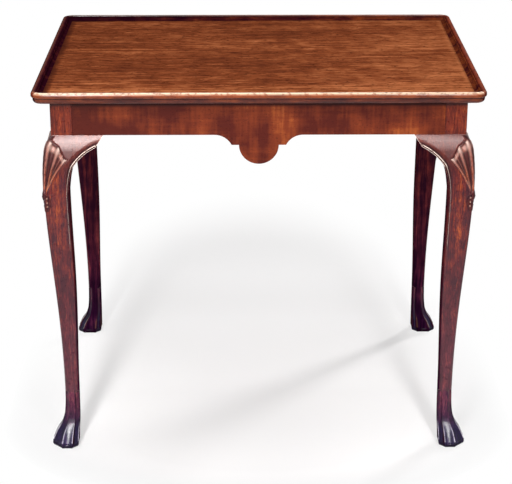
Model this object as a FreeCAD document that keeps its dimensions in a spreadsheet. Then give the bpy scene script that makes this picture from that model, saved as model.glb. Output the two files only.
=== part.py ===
import FreeCAD, Part
import math
import os

import Sketcher

# Tray top tea table in mahogany: a dished top on a mortised frame with cabriole legs.
# Millimetres, +Z up, +X along the length, -Y to the front. The origin is on the floor
# under the middle of the table.

SIZES = {
    # tray top
    "top_length": 790.0,
    "top_width": 592.0,
    "table_height": 692.0,
    "top_corner_radius": 20.0,
    "board_thickness": 20.0,
    "bead_height": 9.5,
    "bead_width": 9.0,
    "bead_step": 3.0,
    "bead_outer_round": 4.5,
    "bead_inner_easing": 1.2,
    "bead_under_easing": 2.5,
    "quirk_width": 2.5,
    "quirk_depth": 2.0,
    "dish_depth": 9.5,
    "cove_radius": 6.5,
    "lower_round": 7.0,
    # frame
    "top_overhang": 30.5,
    "rail_height": 63.5,
    "rail_thickness": 22.0,
    "post_width": 38.0,
    "tenon_setback": 8.0,
    "tenon_thickness": 10.0,
    "tenon_shoulder": 7.0,
    "tenon_gap": 2.0,
    "mortise_relief": 1.0,
    # drop at the middle of the front and back rails
    "drop_half_width": 78.0,
    "drop_height": 18.5,
    "ledge_half_width": 48.0,
    "lobe_radius": 35.0,
    # knee and its brackets
    "knee_projection": 15.5,
    "knee_fall": 78.5,
    "bracket_length": 54.0,
    "bracket_slant": 15.0,
    "bracket_end_height": 20.5,
    "bracket_fall": 54.5,
    "bracket_sweep_radius": 95.0,
    # shaft of the leg
    "knee_waist_drop": 105.0,
    "knee_inside": 27.6,
    "ankle_height": 108.0,
    "ankle_inset": 3.4,
    "ankle_inside": 29.1,
    "calf_swell": 2.8,
    "ankle_round": 6.5,
    # panelled foot
    "ankle_step": 0.7,
    "foot_projection": 22.5,
    "foot_inside": 26.5,
    "pad_height": 10.0,
    "panel_hollow": 1.5,
    "pad_chamfer": 4.0,
    # glue blocks under the top
    "block_length": 70.0,
    "block_width": 24.0,
    "block_height": 28.0,
    "block_foot": 19.0,
    "block_bevel": 12.0,
    "block_spacing": 300.0,
}

# Places that several pieces share, worked out from the sizes above.
HALF_LENGTH = "(Sizes.top_length / 2)"
HALF_WIDTH = "(Sizes.top_width / 2)"
FRAME_X = "(Sizes.top_length / 2 - Sizes.top_overhang)"
FRAME_Y = "(Sizes.top_width / 2 - Sizes.top_overhang)"
UNDERSIDE = "(Sizes.table_height - Sizes.board_thickness)"
APRON = f"({UNDERSIDE} - Sizes.rail_height)"
TENON_LENGTH = "(Sizes.post_width - Sizes.tenon_setback - Sizes.tenon_thickness - Sizes.tenon_gap)"
BRACKET_FOOT = f"({APRON} - Sizes.bracket_fall)"

# The knee's face falls in two arcs that meet smoothly: a round crown that leaves the rail at
# KNEE_LEAN degrees from upright, then a long sweep from BELLY_LEAN to upright at the belly.
# Both arcs' steps outward and downward add up to the knee's projection and fall, which gives
# the two radii.
KNEE_LEAN = 41.5
BELLY_LEAN = 7.4
CROWN_OUT = math.cos(math.radians(BELLY_LEAN)) - math.cos(math.radians(KNEE_LEAN))
CROWN_DOWN = math.sin(math.radians(KNEE_LEAN)) - math.sin(math.radians(BELLY_LEAN))
SWEEP_OUT = 1 - math.cos(math.radians(BELLY_LEAN))
SWEEP_DOWN = math.sin(math.radians(BELLY_LEAN))
KNEE_SHARE = CROWN_OUT * SWEEP_DOWN - SWEEP_OUT * CROWN_DOWN
KNEE_CROWN = (
    f"((Sizes.knee_projection * {SWEEP_DOWN:.7f} - Sizes.knee_fall * {SWEEP_OUT:.7f})"
    f" / {KNEE_SHARE:.7f})"
)
KNEE_SWEEP = (
    f"((Sizes.knee_fall * {CROWN_OUT:.7f} - Sizes.knee_projection * {CROWN_DOWN:.7f})"
    f" / {KNEE_SHARE:.7f})"
)
# How far the sweep has come out where the brackets' lower edges meet the leg.
KNEE_FOOT = (
    f"(Sizes.knee_projection - {KNEE_SWEEP}"
    f" + sqrt({KNEE_SWEEP} ^ 2 - (Sizes.knee_fall - Sizes.bracket_fall) ^ 2))"
)
# Stock left in front of the knee before its falling face is cut, and how far the cut clears it.
KNEE_STOCK = 1.0
KNEE_CLEAR = 2.0

# The shaft's top lies this far inside the knee's foot all round, so that the two join cleanly.
KNEE_SEAM = 0.2

# Fluted panels round the ankle and foot: share of the width that each corner facet takes, and
# share of the full hollow that the panels have at the ankle and round the pad.
ANKLE_FACET = 0.19
FOOT_FACET = 0.26
ANKLE_HOLLOW = 0.4
PAD_HOLLOW = 0.6

# Rounded edges stop this far short of the faces beside them, and no inner corner is tighter.
EDGE_MARGIN = 0.2
TIGHTEST_CORNER = 2.0

# Facets at the leg's corners, at the foot of the brackets and at the waist.
KNEE_FACET = 1.0
WAIST_FACET = 2.5

doc = FreeCAD.newDocument("TeaTable")
sheet = doc.addObject("Spreadsheet::Sheet", "Sizes")
for row, (alias, size) in enumerate(SIZES.items(), start=1):
    sheet.set(f"A{row}", alias)
    sheet.set(f"B{row}", str(size))
    sheet.setAlias(f"B{row}", alias)
doc.recompute()

subparts = []


def value(expression):
    """Number that an expression in the sheet's sizes gives now."""
    return float(sheet.evalExpression(expression))


def keep(node, name):
    """Label a finished sub-part and put it on the list to be written."""
    node.Label = name
    subparts.append(node)
    return node


# ---------------------------------------------------------------- sketches


def add_sketch(body, name, plane, offset="0"):
    """Sketch on one of the body's own origin planes, moved along its normal."""
    sketch = body.newObject("Sketcher::SketchObject", name)
    support = next(item for item in body.Origin.OriginFeatures if item.Role == plane)
    sketch.AttachmentSupport = [(support, "")]
    sketch.MapMode = "FlatFace"
    sketch.setExpression("AttachmentOffset.Base.z", offset)
    return sketch


def circle_arc(start, end, radius, side):
    """Arc below a half turn from start to end; side 1 bulges right of the way, -1 left."""
    chord = end - start
    middle = (start + end) * 0.5
    reach = math.sqrt(max(radius**2 - chord.Length**2 / 4, 0.0))
    left = FreeCAD.Vector(-chord.y, chord.x, 0).normalize()
    centre = middle + left * reach * side
    first, last = (start, end) if side > 0 else (end, start)
    begin = math.atan2(first.y - centre.y, first.x - centre.x)
    finish = math.atan2(last.y - centre.y, last.x - centre.x)
    if finish < begin:
        finish += 2 * math.pi
    circle = Part.Circle(centre, FreeCAD.Vector(0, 0, 1), radius)
    return Part.ArcOfCircle(circle, begin, finish)


def draw_outline(sketch, corners):
    """Closed outline, anticlockwise. Each corner is (x, y) or (x, y, radius, side),
    where radius and side describe the arc that leaves it. Sizes are expressions."""
    points = [FreeCAD.Vector(value(corner[0]), value(corner[1]), 0) for corner in corners]
    ends = []
    for number, corner in enumerate(corners):
        start, end = points[number], points[(number + 1) % len(points)]
        if len(corner) == 2:
            sketch.addGeometry(Part.LineSegment(start, end), False)
            ends.append((1, 2))
        else:
            sketch.addGeometry(circle_arc(start, end, value(corner[2]), corner[3]), False)
            ends.append((1, 2) if corner[3] > 0 else (2, 1))
    for number in range(len(corners)):
        after = (number + 1) % len(corners)
        joint = Sketcher.Constraint("Coincident", number, ends[number][1], after, ends[after][0])
        sketch.addConstraint(joint)
    for number, corner in enumerate(corners):
        at = ends[number][0]
        for axis, size in (("X", corner[0]), ("Y", corner[1])):
            bind(sketch, f"{axis}{number}", (f"Distance{axis}", -1, 1, number, at), size)
        if len(corner) == 4:
            bind(sketch, f"R{number}", ("Radius", number), corner[2])


def bind(sketch, name, terms, expression):
    """Dimension in a sketch, tied to an expression."""
    index = sketch.addConstraint(Sketcher.Constraint(*terms, value(expression)))
    sketch.renameConstraint(index, name)
    sketch.setExpression(f"Constraints.{name}", expression)


def rectangle(sketch, low_x, high_x, low_y, high_y):
    """Plain rectangle from four expressions."""
    draw_outline(sketch, [(low_x, low_y), (high_x, low_y), (high_x, high_y), (low_x, high_y)])


def add_feature(body, kind, name, sketch, length=None, **settings):
    """Pad, Pocket or the like on a sketch, its length tied to an expression."""
    feature = body.newObject(f"PartDesign::{kind}", name)
    feature.Profile = sketch
    if length:
        feature.setExpression("Length", length)
    for key, setting in settings.items():
        setattr(feature, key, setting)
    return feature


def mirrored(name, source, normal, base=("0", "0")):
    """The same piece for the other hand, through an upright plane."""
    mirror = doc.addObject("Part::Mirroring", name)
    mirror.Source = source
    mirror.Normal = FreeCAD.Vector(*normal)
    mirror.setExpression("Base.x", base[0])
    mirror.setExpression("Base.y", base[1])
    return keep(mirror, name)


# ---------------------------------------------------------------- tray top


def rounded_rectangle(sketch, inset):
    """Outline of the top moved in by inset, with its corners rounded about one centre."""
    x, y = f"({HALF_LENGTH} - ({inset}))", f"({HALF_WIDTH} - ({inset}))"
    turn = f"max(Sizes.top_corner_radius - ({inset}); {TIGHTEST_CORNER})"
    draw_outline(
        sketch,
        [
            (f"-{x} + {turn}", f"-{y}"),
            (f"{x} - {turn}", f"-{y}", turn, 1),
            (x, f"-{y} + {turn}"),
            (x, f"{y} - {turn}", turn, 1),
            (f"{x} - {turn}", y),
            (f"-{x} + {turn}", y, turn, 1),
            (f"-{x}", f"{y} - {turn}"),
            (f"-{x}", f"-{y} + {turn}", turn, 1),
        ],
    )


def loop_edges(shape, height, inset):
    """Names of the edges that run round the top at one height and inset."""
    x, y, level = value(f"{HALF_LENGTH} - ({inset})"), value(f"{HALF_WIDTH} - ({inset})"), value(height)
    names = []
    for number, edge in enumerate(shape.Edges, start=1):
        box = edge.BoundBox
        flat = abs(box.ZMin - level) < 0.01 and abs(box.ZMax - level) < 0.01
        on_loop = all(
            abs(abs(vertex.X) - x) < 0.01 or abs(abs(vertex.Y) - y) < 0.01 for vertex in edge.Vertexes
        )
        if flat and on_loop:
            names.append(f"Edge{number}")
    return names


def dress_loop(body, kind, name, size, height, inset):
    """Fillet or chamfer along one whole loop of the moulding."""
    doc.recompute()
    before = body.Tip
    names = loop_edges(before.Shape, height, inset)
    dressing = body.newObject(f"PartDesign::{kind}", name)
    dressing.Base = (before, names)
    dressing.setExpression("Radius" if kind == "Fillet" else "Size", size)


def make_tray_top():
    """Board dished from the solid: bead, quirk and cove inside, ovolo under the bead."""
    body = doc.addObject("PartDesign::Body", "TrayTop")
    bead_foot = "(Sizes.table_height - Sizes.bead_height)"
    dish_inset = "Sizes.bead_width + Sizes.quirk_width"

    board = add_sketch(body, "BoardOutline", "XY_Plane", UNDERSIDE)
    rounded_rectangle(board, "Sizes.bead_step")
    add_feature(body, "Pad", "Board", board, "Sizes.board_thickness - Sizes.bead_height")
    bead = add_sketch(body, "BeadOutline", "XY_Plane", bead_foot)
    rounded_rectangle(bead, "0")
    add_feature(body, "Pad", "Bead", bead, "Sizes.bead_height")
    quirk = add_sketch(body, "QuirkOutline", "XY_Plane", "Sizes.table_height")
    rounded_rectangle(quirk, "Sizes.bead_width")
    add_feature(body, "Pocket", "Quirk", quirk, "Sizes.quirk_depth")
    dish = add_sketch(body, "DishOutline", "XY_Plane", "Sizes.table_height")
    rounded_rectangle(dish, dish_inset)
    add_feature(body, "Pocket", "Dish", dish, "Sizes.dish_depth")

    field = "Sizes.table_height - Sizes.dish_depth"
    cove_limit = f"max(Sizes.top_corner_radius - ({dish_inset}); {TIGHTEST_CORNER}) - {EDGE_MARGIN}"
    wall_limit = f"Sizes.dish_depth - Sizes.quirk_depth - {EDGE_MARGIN}"
    cove = f"min(Sizes.cove_radius; {cove_limit}; {wall_limit})"
    dress_loop(body, "Fillet", "Cove", cove, field, dish_inset)
    outer = (
        f"min(Sizes.bead_outer_round; Sizes.bead_width - Sizes.bead_inner_easing - {EDGE_MARGIN};"
        f" Sizes.bead_height - Sizes.bead_under_easing - {EDGE_MARGIN})"
    )
    dress_loop(body, "Fillet", "BeadOutside", outer, "Sizes.table_height", "0")
    under = f"min(Sizes.bead_under_easing; Sizes.bead_step - {EDGE_MARGIN})"
    dress_loop(body, "Chamfer", "BeadUnder", under, bead_foot, "0")
    inner = f"min(Sizes.bead_inner_easing; Sizes.quirk_depth - {EDGE_MARGIN})"
    dress_loop(body, "Chamfer", "BeadInside", inner, "Sizes.table_height", "Sizes.bead_width")
    ovolo = f"min(Sizes.lower_round; Sizes.board_thickness - Sizes.bead_height - {EDGE_MARGIN})"
    dress_loop(body, "Fillet", "Ovolo", ovolo, UNDERSIDE, "Sizes.bead_step")
    keep(body, "tray_top")


# ---------------------------------------------------------------- legs


def leg_section(body, name, height, out, inside, facet, hollow=None):
    """Level section of the leg. out is how far it stands beyond the post's outer faces and
    inside how far it reaches in from them. Each corner is rounded off in two facets or,
    where hollow is given, cut in one, with the sides hollowed into panels between them."""
    low, high = f"-({out})", f"({inside})"
    near, far = f"{low} + ({facet})", f"{high} - ({facet})"
    if hollow is None:
        soft = f"({facet}) * (1 - sqrt(0.5))"
        left, right = f"{low} + {soft}", f"{high} - {soft}"
        corners = [(near, low), (far, low), (right, left), (high, near), (high, far), (right, right)]
        corners += [(far, high), (near, high), (left, right), (low, far), (low, near), (left, left)]
    else:
        span = f"({high} - ({low}) - 2 * ({facet}))"
        sweep = (f"({span} ^ 2 / 4 + ({hollow}) ^ 2) / (2 * ({hollow}))", -1)
        corners = [(near, low, *sweep), (far, low), (high, near, *sweep), (high, far)]
        corners += [(far, high, *sweep), (near, high), (low, far, *sweep), (low, near)]
    sketch = add_sketch(body, name, "XY_Plane", height)
    draw_outline(sketch, corners)
    return sketch


def cut_knee_fall(body, name, plane):
    """Cut away what stands in front of the knee's falling face, right across the body. The
    face leaves the rail in a round crown and eases into a long sweep down to the belly."""
    reach, fall = "Sizes.knee_projection", "Sizes.knee_fall"
    clear = f"-({reach} + {KNEE_CLEAR})"
    sketch = add_sketch(body, name, plane)
    draw_outline(
        sketch,
        [
            (clear, APRON),
            (clear, f"{APRON} - {fall}"),
            (f"-{reach}", f"{APRON} - {fall}", KNEE_SWEEP, -1),
            (
                f"-{KNEE_CROWN} * {CROWN_OUT:.7f}",
                f"{APRON} - {KNEE_CROWN} * {CROWN_DOWN:.7f}",
                KNEE_CROWN,
                -1,
            ),
            ("0", APRON),
        ],
    )
    add_feature(body, "Pocket", f"{name}Cut", sketch, Type="ThroughAll", Midplane=True)


def add_loft(body, name, sections):
    """Smooth loft through level sections."""
    loft = body.newObject("PartDesign::AdditiveLoft", name)
    loft.Profile = sections[0]
    loft.Sections = sections[1:]
    body.Tip = loft
    return loft


def make_leg():
    """Front left leg: post with mortises, knee, cabriole shaft and panelled foot.
    The body's own origin is the post's outer corner, on the floor."""
    body = doc.addObject("PartDesign::Body", "LegFrontLeft")
    body.setExpression("Placement.Base.x", f"-{FRAME_X}")
    body.setExpression("Placement.Base.y", f"-{FRAME_Y}")

    post = add_sketch(body, "PostOutline", "XY_Plane", APRON)
    rectangle(post, "0", "Sizes.post_width", "0", "Sizes.post_width")
    add_feature(body, "Pad", "Post", post, "Sizes.rail_height")

    knee = add_sketch(body, "KneeOutline", "XY_Plane", BRACKET_FOOT)
    front = f"-(Sizes.knee_projection + {KNEE_STOCK})"
    rectangle(knee, front, "Sizes.post_width", front, "Sizes.post_width")
    add_feature(body, "Pad", "Knee", knee, "Sizes.bracket_fall")
    cut_knee_fall(body, "FrontFall", "YZ_Plane")
    cut_knee_fall(body, "SideFall", "XZ_Plane")

    waist = f"({APRON} - Sizes.knee_waist_drop)"
    shaft = []
    # Below the brackets the inner faces fall back from the post's width to the waist.
    for number, (fall, back) in enumerate(((0.0, 0.0), (0.24, 0.38), (0.55, 0.72), (1.0, 1.0))):
        height = f"{BRACKET_FOOT} - ({BRACKET_FOOT} - {waist}) * {fall}"
        swell = min(1.0, 2 * fall)
        out = (
            f"{KNEE_FOOT} + (Sizes.knee_projection - {KNEE_FOOT}) * {swell}"
            f" - {KNEE_SEAM * (1 - fall):.3f}"
        )
        start = f"(Sizes.post_width - {KNEE_SEAM})"
        inside = f"{start} - ({start} - Sizes.knee_inside) * {back}"
        facet = f"{KNEE_FACET + (WAIST_FACET - KNEE_FACET) * fall}"
        shaft.append(leg_section(body, f"Waist{number}", height, out, inside, facet))
    for number, way in enumerate((0.1, 0.24, 0.4, 0.56, 0.72, 0.86, 1.0)):
        ease = (1 + math.cos(math.pi * way**0.8)) / 2
        swell = math.sin(math.pi * way) ** 2
        height = f"{waist} - ({waist} - Sizes.ankle_height) * {way}"
        out = f"(Sizes.knee_projection + Sizes.ankle_inset) * {ease:.4f} - Sizes.ankle_inset"
        level = f"Sizes.knee_inside + (Sizes.ankle_inside - Sizes.knee_inside) * {way}"
        inside = f"{level} + Sizes.calf_swell * {swell:.4f}"
        facet = f"{WAIST_FACET} + (Sizes.ankle_round - {WAIST_FACET}) * {way}"
        shaft.append(leg_section(body, f"Shaft{number}", height, out, inside, facet))
    add_loft(body, "Shaft", shaft[::-1])

    make_foot(body)
    make_mortises(body)
    keep(body, "leg_front_left")
    return body


def make_foot(body):
    """Fluted ankle that flares into a panelled foot on an eight-sided pad."""
    above = "(Sizes.ankle_height - Sizes.pad_height)"
    # Height above the pad, how far the flare has gone, and how far the panels have opened.
    stations = ((1.0, 0.0), (0.77, 0.02), (0.55, 0.09), (0.36, 0.28), (0.18, 0.70), (0.0, 1.0))
    sections = []
    for number, (up, flare) in enumerate(stations):
        height = f"Sizes.pad_height + {above} * {up}"
        start = "(Sizes.ankle_inset + Sizes.ankle_step)"
        out = f"(Sizes.foot_projection + {start}) * {flare} - {start}"
        rear = "(Sizes.ankle_inside - Sizes.ankle_step)"
        inside = f"{rear} + (Sizes.foot_inside - {rear}) * {flare}"
        share = ANKLE_FACET + (FOOT_FACET - ANKLE_FACET) * flare
        facet = f"(({out}) + ({inside})) * {share:.4f}"
        hollow = f"Sizes.panel_hollow * {ANKLE_HOLLOW + (1 - ANKLE_HOLLOW) * flare:.3f}"
        sections.append(leg_section(body, f"Foot{number}", height, out, inside, facet, hollow))
    add_loft(body, "Foot", sections[::-1])
    pad = leg_section(
        body,
        "PadOutline",
        "0",
        "Sizes.foot_projection",
        "Sizes.foot_inside",
        f"(Sizes.foot_projection + Sizes.foot_inside) * {FOOT_FACET}",
        f"Sizes.panel_hollow * {PAD_HOLLOW}",
    )
    add_feature(body, "Pad", "FootPad", pad, "Sizes.pad_height")
    doc.recompute()
    before = body.Tip
    soles = [
        f"Edge{number}"
        for number, edge in enumerate(before.Shape.Edges, start=1)
        if edge.BoundBox.ZMax < 0.01
    ]
    chamfer = body.newObject("PartDesign::Chamfer", "PadChamfer")
    chamfer.Base = (before, soles)
    chamfer.setExpression("Size", "Sizes.pad_chamfer")


def make_mortises(body):
    """Mortises for the two rails, a little deeper than their tenons."""
    low, high = "Sizes.tenon_setback", "Sizes.tenon_setback + Sizes.tenon_thickness"
    foot = f"{APRON} + Sizes.tenon_shoulder"
    head = f"{UNDERSIDE} - Sizes.tenon_shoulder"
    depth = f"{TENON_LENGTH} + Sizes.mortise_relief"
    across = add_sketch(body, "RailMortise", "YZ_Plane", "Sizes.post_width")
    rectangle(across, low, high, foot, head)
    add_feature(body, "Pocket", "LongRailMortise", across, depth)
    along = add_sketch(body, "SideMortise", "XZ_Plane", "-Sizes.post_width")
    rectangle(along, low, high, foot, head)
    add_feature(body, "Pocket", "SideRailMortise", along, depth, Reversed=True)


# ---------------------------------------------------------------- knee brackets


def make_bracket():
    """Bracket at the front of the front left leg: swept lower edge, slanted end and the
    same falling front as the knee. Its origin is the post's outer corner, as the leg's."""
    body = doc.addObject("PartDesign::Body", "BracketFrontLeftFront")
    body.setExpression("Placement.Base.x", f"-{FRAME_X}")
    body.setExpression("Placement.Base.y", f"-{FRAME_Y}")
    end = "Sizes.post_width + Sizes.bracket_length"

    stock = f"Sizes.knee_projection + {KNEE_STOCK}"
    outline = add_sketch(body, "BracketOutline", "XZ_Plane", stock)
    draw_outline(
        outline,
        [
            ("Sizes.post_width", BRACKET_FOOT, "Sizes.bracket_sweep_radius", -1),
            (f"{end} - Sizes.bracket_slant", f"{APRON} - Sizes.bracket_end_height"),
            (end, APRON),
            ("Sizes.post_width", APRON),
        ],
    )
    depth = f"{stock} + Sizes.rail_thickness"
    add_feature(body, "Pad", "Bracket", outline, depth, Reversed=True)

    cut_knee_fall(body, "FrontFall", "YZ_Plane")
    keep(body, "bracket_front_left_front")
    return body


# ---------------------------------------------------------------- rails


def add_tenons(body, plane, offset_from, offset_to, half_span):
    """One bar through the rail whose ends stand out as the tenons."""
    sketch = add_sketch(body, "TenonOutline", plane)
    foot = f"{APRON} + Sizes.tenon_shoulder"
    head = f"{UNDERSIDE} - Sizes.tenon_shoulder"
    rectangle(sketch, offset_from, offset_to, foot, head)
    length = f"2 * ({half_span} + {TENON_LENGTH})"
    add_feature(body, "Pad", "Tenons", sketch, length, Midplane=True)


def make_front_rail():
    """Front rail between the posts, its lower edge falling in coves to a round drop."""
    body = doc.addObject("PartDesign::Body", "FrontRail")
    half_span = f"({FRAME_X} - Sizes.post_width)"
    ledge = f"{APRON} - Sizes.drop_height"
    run = "(Sizes.drop_half_width - Sizes.ledge_half_width)"
    cove = f"({run} ^ 2 + Sizes.drop_height ^ 2) / (2 * Sizes.drop_height)"
    lobe = "Sizes.lobe_radius"
    outline = add_sketch(body, "RailOutline", "XZ_Plane", FRAME_Y)
    draw_outline(
        outline,
        [
            (f"-{half_span}", APRON),
            ("-Sizes.drop_half_width", APRON, cove, -1),
            ("-Sizes.ledge_half_width", ledge),
            (f"-{lobe}", ledge, lobe, 1),
            ("0", f"{ledge} - {lobe}", lobe, 1),
            (lobe, ledge),
            ("Sizes.ledge_half_width", ledge, cove, -1),
            ("Sizes.drop_half_width", APRON),
            (half_span, APRON),
            (half_span, UNDERSIDE),
            (f"-{half_span}", UNDERSIDE),
        ],
    )
    add_feature(body, "Pad", "Rail", outline, "Sizes.rail_thickness", Reversed=True)
    setback = f"-{FRAME_Y} + Sizes.tenon_setback"
    add_tenons(body, "YZ_Plane", setback, f"{setback} + Sizes.tenon_thickness", half_span)
    keep(body, "front_rail")
    return body


def make_left_rail():
    """Plain left rail between the front and back posts."""
    body = doc.addObject("PartDesign::Body", "LeftRail")
    half_span = f"({FRAME_Y} - Sizes.post_width)"
    outline = add_sketch(body, "RailOutline", "YZ_Plane", f"-{FRAME_X}")
    rectangle(outline, f"-{half_span}", half_span, APRON, UNDERSIDE)
    add_feature(body, "Pad", "Rail", outline, "Sizes.rail_thickness")
    setback = f"-{FRAME_X} + Sizes.tenon_setback"
    add_tenons(body, "XZ_Plane", setback, f"{setback} + Sizes.tenon_thickness", half_span)
    keep(body, "left_rail")
    return body


# ---------------------------------------------------------------- glue blocks

LONG_BLOCK_X = "(Sizes.block_spacing / 2)"
LONG_BLOCK_Y = f"({FRAME_Y} - Sizes.rail_thickness)"
SIDE_BLOCK_X = f"({FRAME_X} - Sizes.rail_thickness)"


def make_block(name, x, y, turn):
    """Glue block in the angle between a rail and the underside of the top. Its origin lies
    on the rail's inner face, and it stands out towards its own +Y before turn."""
    body = doc.addObject("PartDesign::Body", name.title().replace("_", ""))
    body.Placement = FreeCAD.Placement(FreeCAD.Vector(), FreeCAD.Rotation(FreeCAD.Vector(0, 0, 1), turn))
    body.setExpression("Placement.Base.x", x)
    body.setExpression("Placement.Base.y", y)
    foot = f"({UNDERSIDE} - Sizes.block_height)"
    profile = add_sketch(body, "BlockProfile", "YZ_Plane")
    draw_outline(
        profile,
        [
            ("0", foot),
            ("Sizes.block_foot", foot),
            ("Sizes.block_width", f"{foot} + Sizes.block_bevel"),
            ("Sizes.block_width", UNDERSIDE),
            ("0", UNDERSIDE),
        ],
    )
    add_feature(body, "Pad", "Block", profile, "Sizes.block_length", Midplane=True)
    return keep(body, name)


# ---------------------------------------------------------------- assembly

ACROSS = (1, 0, 0)
THROUGH = (0, 1, 0)

make_tray_top()

leg = make_leg()
mirrored("leg_front_right", leg, ACROSS)
back_leg = mirrored("leg_back_left", leg, THROUGH)
mirrored("leg_back_right", back_leg, ACROSS)

front_bracket = make_bracket()
corner = (f"-{FRAME_X}", f"-{FRAME_Y}")
side_bracket = mirrored("bracket_front_left_side", front_bracket, (1, -1, 0), corner)
for face, bracket in (("front", front_bracket), ("side", side_bracket)):
    mirrored(f"bracket_front_right_{face}", bracket, ACROSS)
    back_face = "back" if face == "front" else face
    back = mirrored(f"bracket_back_left_{back_face}", bracket, THROUGH)
    mirrored(f"bracket_back_right_{back_face}", back, ACROSS)

front_rail = make_front_rail()
mirrored("back_rail", front_rail, THROUGH)
left_rail = make_left_rail()
mirrored("right_rail", left_rail, ACROSS)

make_block("block_front_left", f"-{LONG_BLOCK_X}", f"-{LONG_BLOCK_Y}", 0)
make_block("block_front_right", LONG_BLOCK_X, f"-{LONG_BLOCK_Y}", 0)
make_block("block_back_left", f"-{LONG_BLOCK_X}", LONG_BLOCK_Y, 180)
make_block("block_back_right", LONG_BLOCK_X, LONG_BLOCK_Y, 180)
make_block("block_left", f"-{SIDE_BLOCK_X}", "0", -90)
make_block("block_right", SIDE_BLOCK_X, "0", 90)

doc.recompute()
for item in doc.Objects:
    if "Invalid" in item.State or "Error" in item.State:
        raise RuntimeError(f"{item.Name} failed: {item.State}")
for node in subparts:
    if node.Shape.isNull() or not node.Shape.isValid():
        raise RuntimeError(f"{node.Label} has no valid shape")

os.makedirs("parts", exist_ok=True)
for node in subparts:
    node.Shape.exportStep(os.path.join("parts", f"{node.Label}.step"))
    box = node.Shape.BoundBox
    size = f"{box.XLength:.1f} x {box.YLength:.1f} x {box.ZLength:.1f}"
    print(f"{node.Label}: {len(node.Shape.Solids)} solid(s), {size} mm, {node.Shape.Volume / 1000:.1f} cm3")
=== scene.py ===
"""Dresses a mahogany tray top tea table: moulded top, carved cabriole legs, aprons, light.

Sizes in the classes are millimetres in the part's own frame: +Z up, +X along the length,
-Y to the front, origin on the floor under the middle. Only the studio's, the stains' and the
shaded edge's heights are metres, as Blender's own lengths are.
"""

import logging
import math
from dataclasses import dataclass, field, replace
from enum import Enum
from functools import partial
from typing import Any, Callable, Mapping, Sequence

import bpy
import numpy as np
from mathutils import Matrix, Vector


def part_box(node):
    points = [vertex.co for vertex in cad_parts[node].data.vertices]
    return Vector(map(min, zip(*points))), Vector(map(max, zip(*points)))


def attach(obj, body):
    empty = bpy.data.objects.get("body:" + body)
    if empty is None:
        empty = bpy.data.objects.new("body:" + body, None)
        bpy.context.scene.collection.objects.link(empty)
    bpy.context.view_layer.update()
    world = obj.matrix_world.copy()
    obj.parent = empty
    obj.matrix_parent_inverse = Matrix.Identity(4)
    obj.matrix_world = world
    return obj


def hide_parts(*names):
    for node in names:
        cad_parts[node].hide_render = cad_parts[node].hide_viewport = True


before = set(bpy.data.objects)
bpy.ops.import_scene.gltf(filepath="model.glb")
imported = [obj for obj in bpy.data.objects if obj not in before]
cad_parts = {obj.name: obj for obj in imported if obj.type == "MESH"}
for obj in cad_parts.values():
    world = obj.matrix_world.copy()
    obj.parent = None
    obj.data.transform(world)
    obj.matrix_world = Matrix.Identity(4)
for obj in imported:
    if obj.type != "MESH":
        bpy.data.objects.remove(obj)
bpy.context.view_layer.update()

LOG = logging.getLogger("tea_table")
MM = 0.001
BODY = "root"
WEAR_AND_GLINT = "relief"
DIRT_AND_SHADE = "dirt_and_shade"
TONE_AND_PAINTED_LIGHT = "fade"
Pair = tuple[float, float]
Triple = tuple[float, float, float]
NodeAdder = Callable[..., bpy.types.Node]


# ------------------------------------------------------------------ numbers and meshes


def to_linear(colour: str) -> tuple[float, float, float, float]:
    """Turn an sRGB hex colour into the linear colour that shaders use.

    Args:
        colour: six hex digits, such as "7a3b20".

    Returns:
        Red, green, blue and an alpha of one.
    """
    parts = [int(colour[at:at + 2], 16) / 255 for at in (0, 2, 4)]
    red, green, blue = (c / 12.92 if c <= 0.04045 else ((c + 0.055) / 1.055) ** 2.4 for c in parts)
    return red, green, blue, 1.0


def ease(share: np.ndarray) -> np.ndarray:
    """Soft step from 0 to 1 as share goes from 0 to 1."""
    kept = np.clip(share, 0.0, 1.0)
    return kept * kept * (3 - 2 * kept)


def bump(distance: np.ndarray, width: float) -> np.ndarray:
    """Rounded hill of height 1 at distance 0 that fades over width."""
    return np.exp(-((distance / width) ** 2))


def rise(at: np.ndarray, low: Any, high: Any) -> np.ndarray:
    """Soft step from 0 where at is low to 1 where it is high, which may lie below low."""
    return ease((at - low) / (high - low))


def follow(at: np.ndarray, places: Sequence[float], heights: Sequence[float]) -> np.ndarray:
    """Smooth curve through a few stations that never overshoots them.

    Args:
        at: where the curve is wanted.
        places: the stations, rising.
        heights: the curve's value at each station.

    Returns:
        The curve at each place asked for.
    """
    x, y = np.asarray(places, float), np.asarray(heights, float)
    step = np.diff(x)
    slope = np.diff(y) / step
    turn = np.zeros_like(x)
    same = slope[:-1] * slope[1:] > 0
    turn[1:-1][same] = 2 * slope[:-1][same] * slope[1:][same] / (slope[:-1] + slope[1:])[same]
    turn[0], turn[-1] = slope[0], slope[-1]
    index = np.clip(np.searchsorted(x, at) - 1, 0, len(x) - 2)
    t = np.clip((at - x[index]) / step[index], 0.0, 1.0)
    start = y[index] * (1 + 2 * t) * (1 - t) ** 2 + turn[index] * step[index] * t * (1 - t) ** 2
    return start + y[index + 1] * t * t * (3 - 2 * t) - turn[index + 1] * step[index] * t * t * (1 - t)


def arc(centre: Pair, radius: float, start: float, end: float, count: int) -> np.ndarray:
    """Points along a circular arc.

    Args:
        centre: the arc's centre.
        radius: its radius.
        start: first angle in degrees.
        end: last angle in degrees.
        count: number of points, both ends included.

    Returns:
        One row for each point.
    """
    angle = np.radians(np.linspace(start, end, count))
    return np.column_stack([centre[0] + radius * np.cos(angle), centre[1] + radius * np.sin(angle)])


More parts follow.
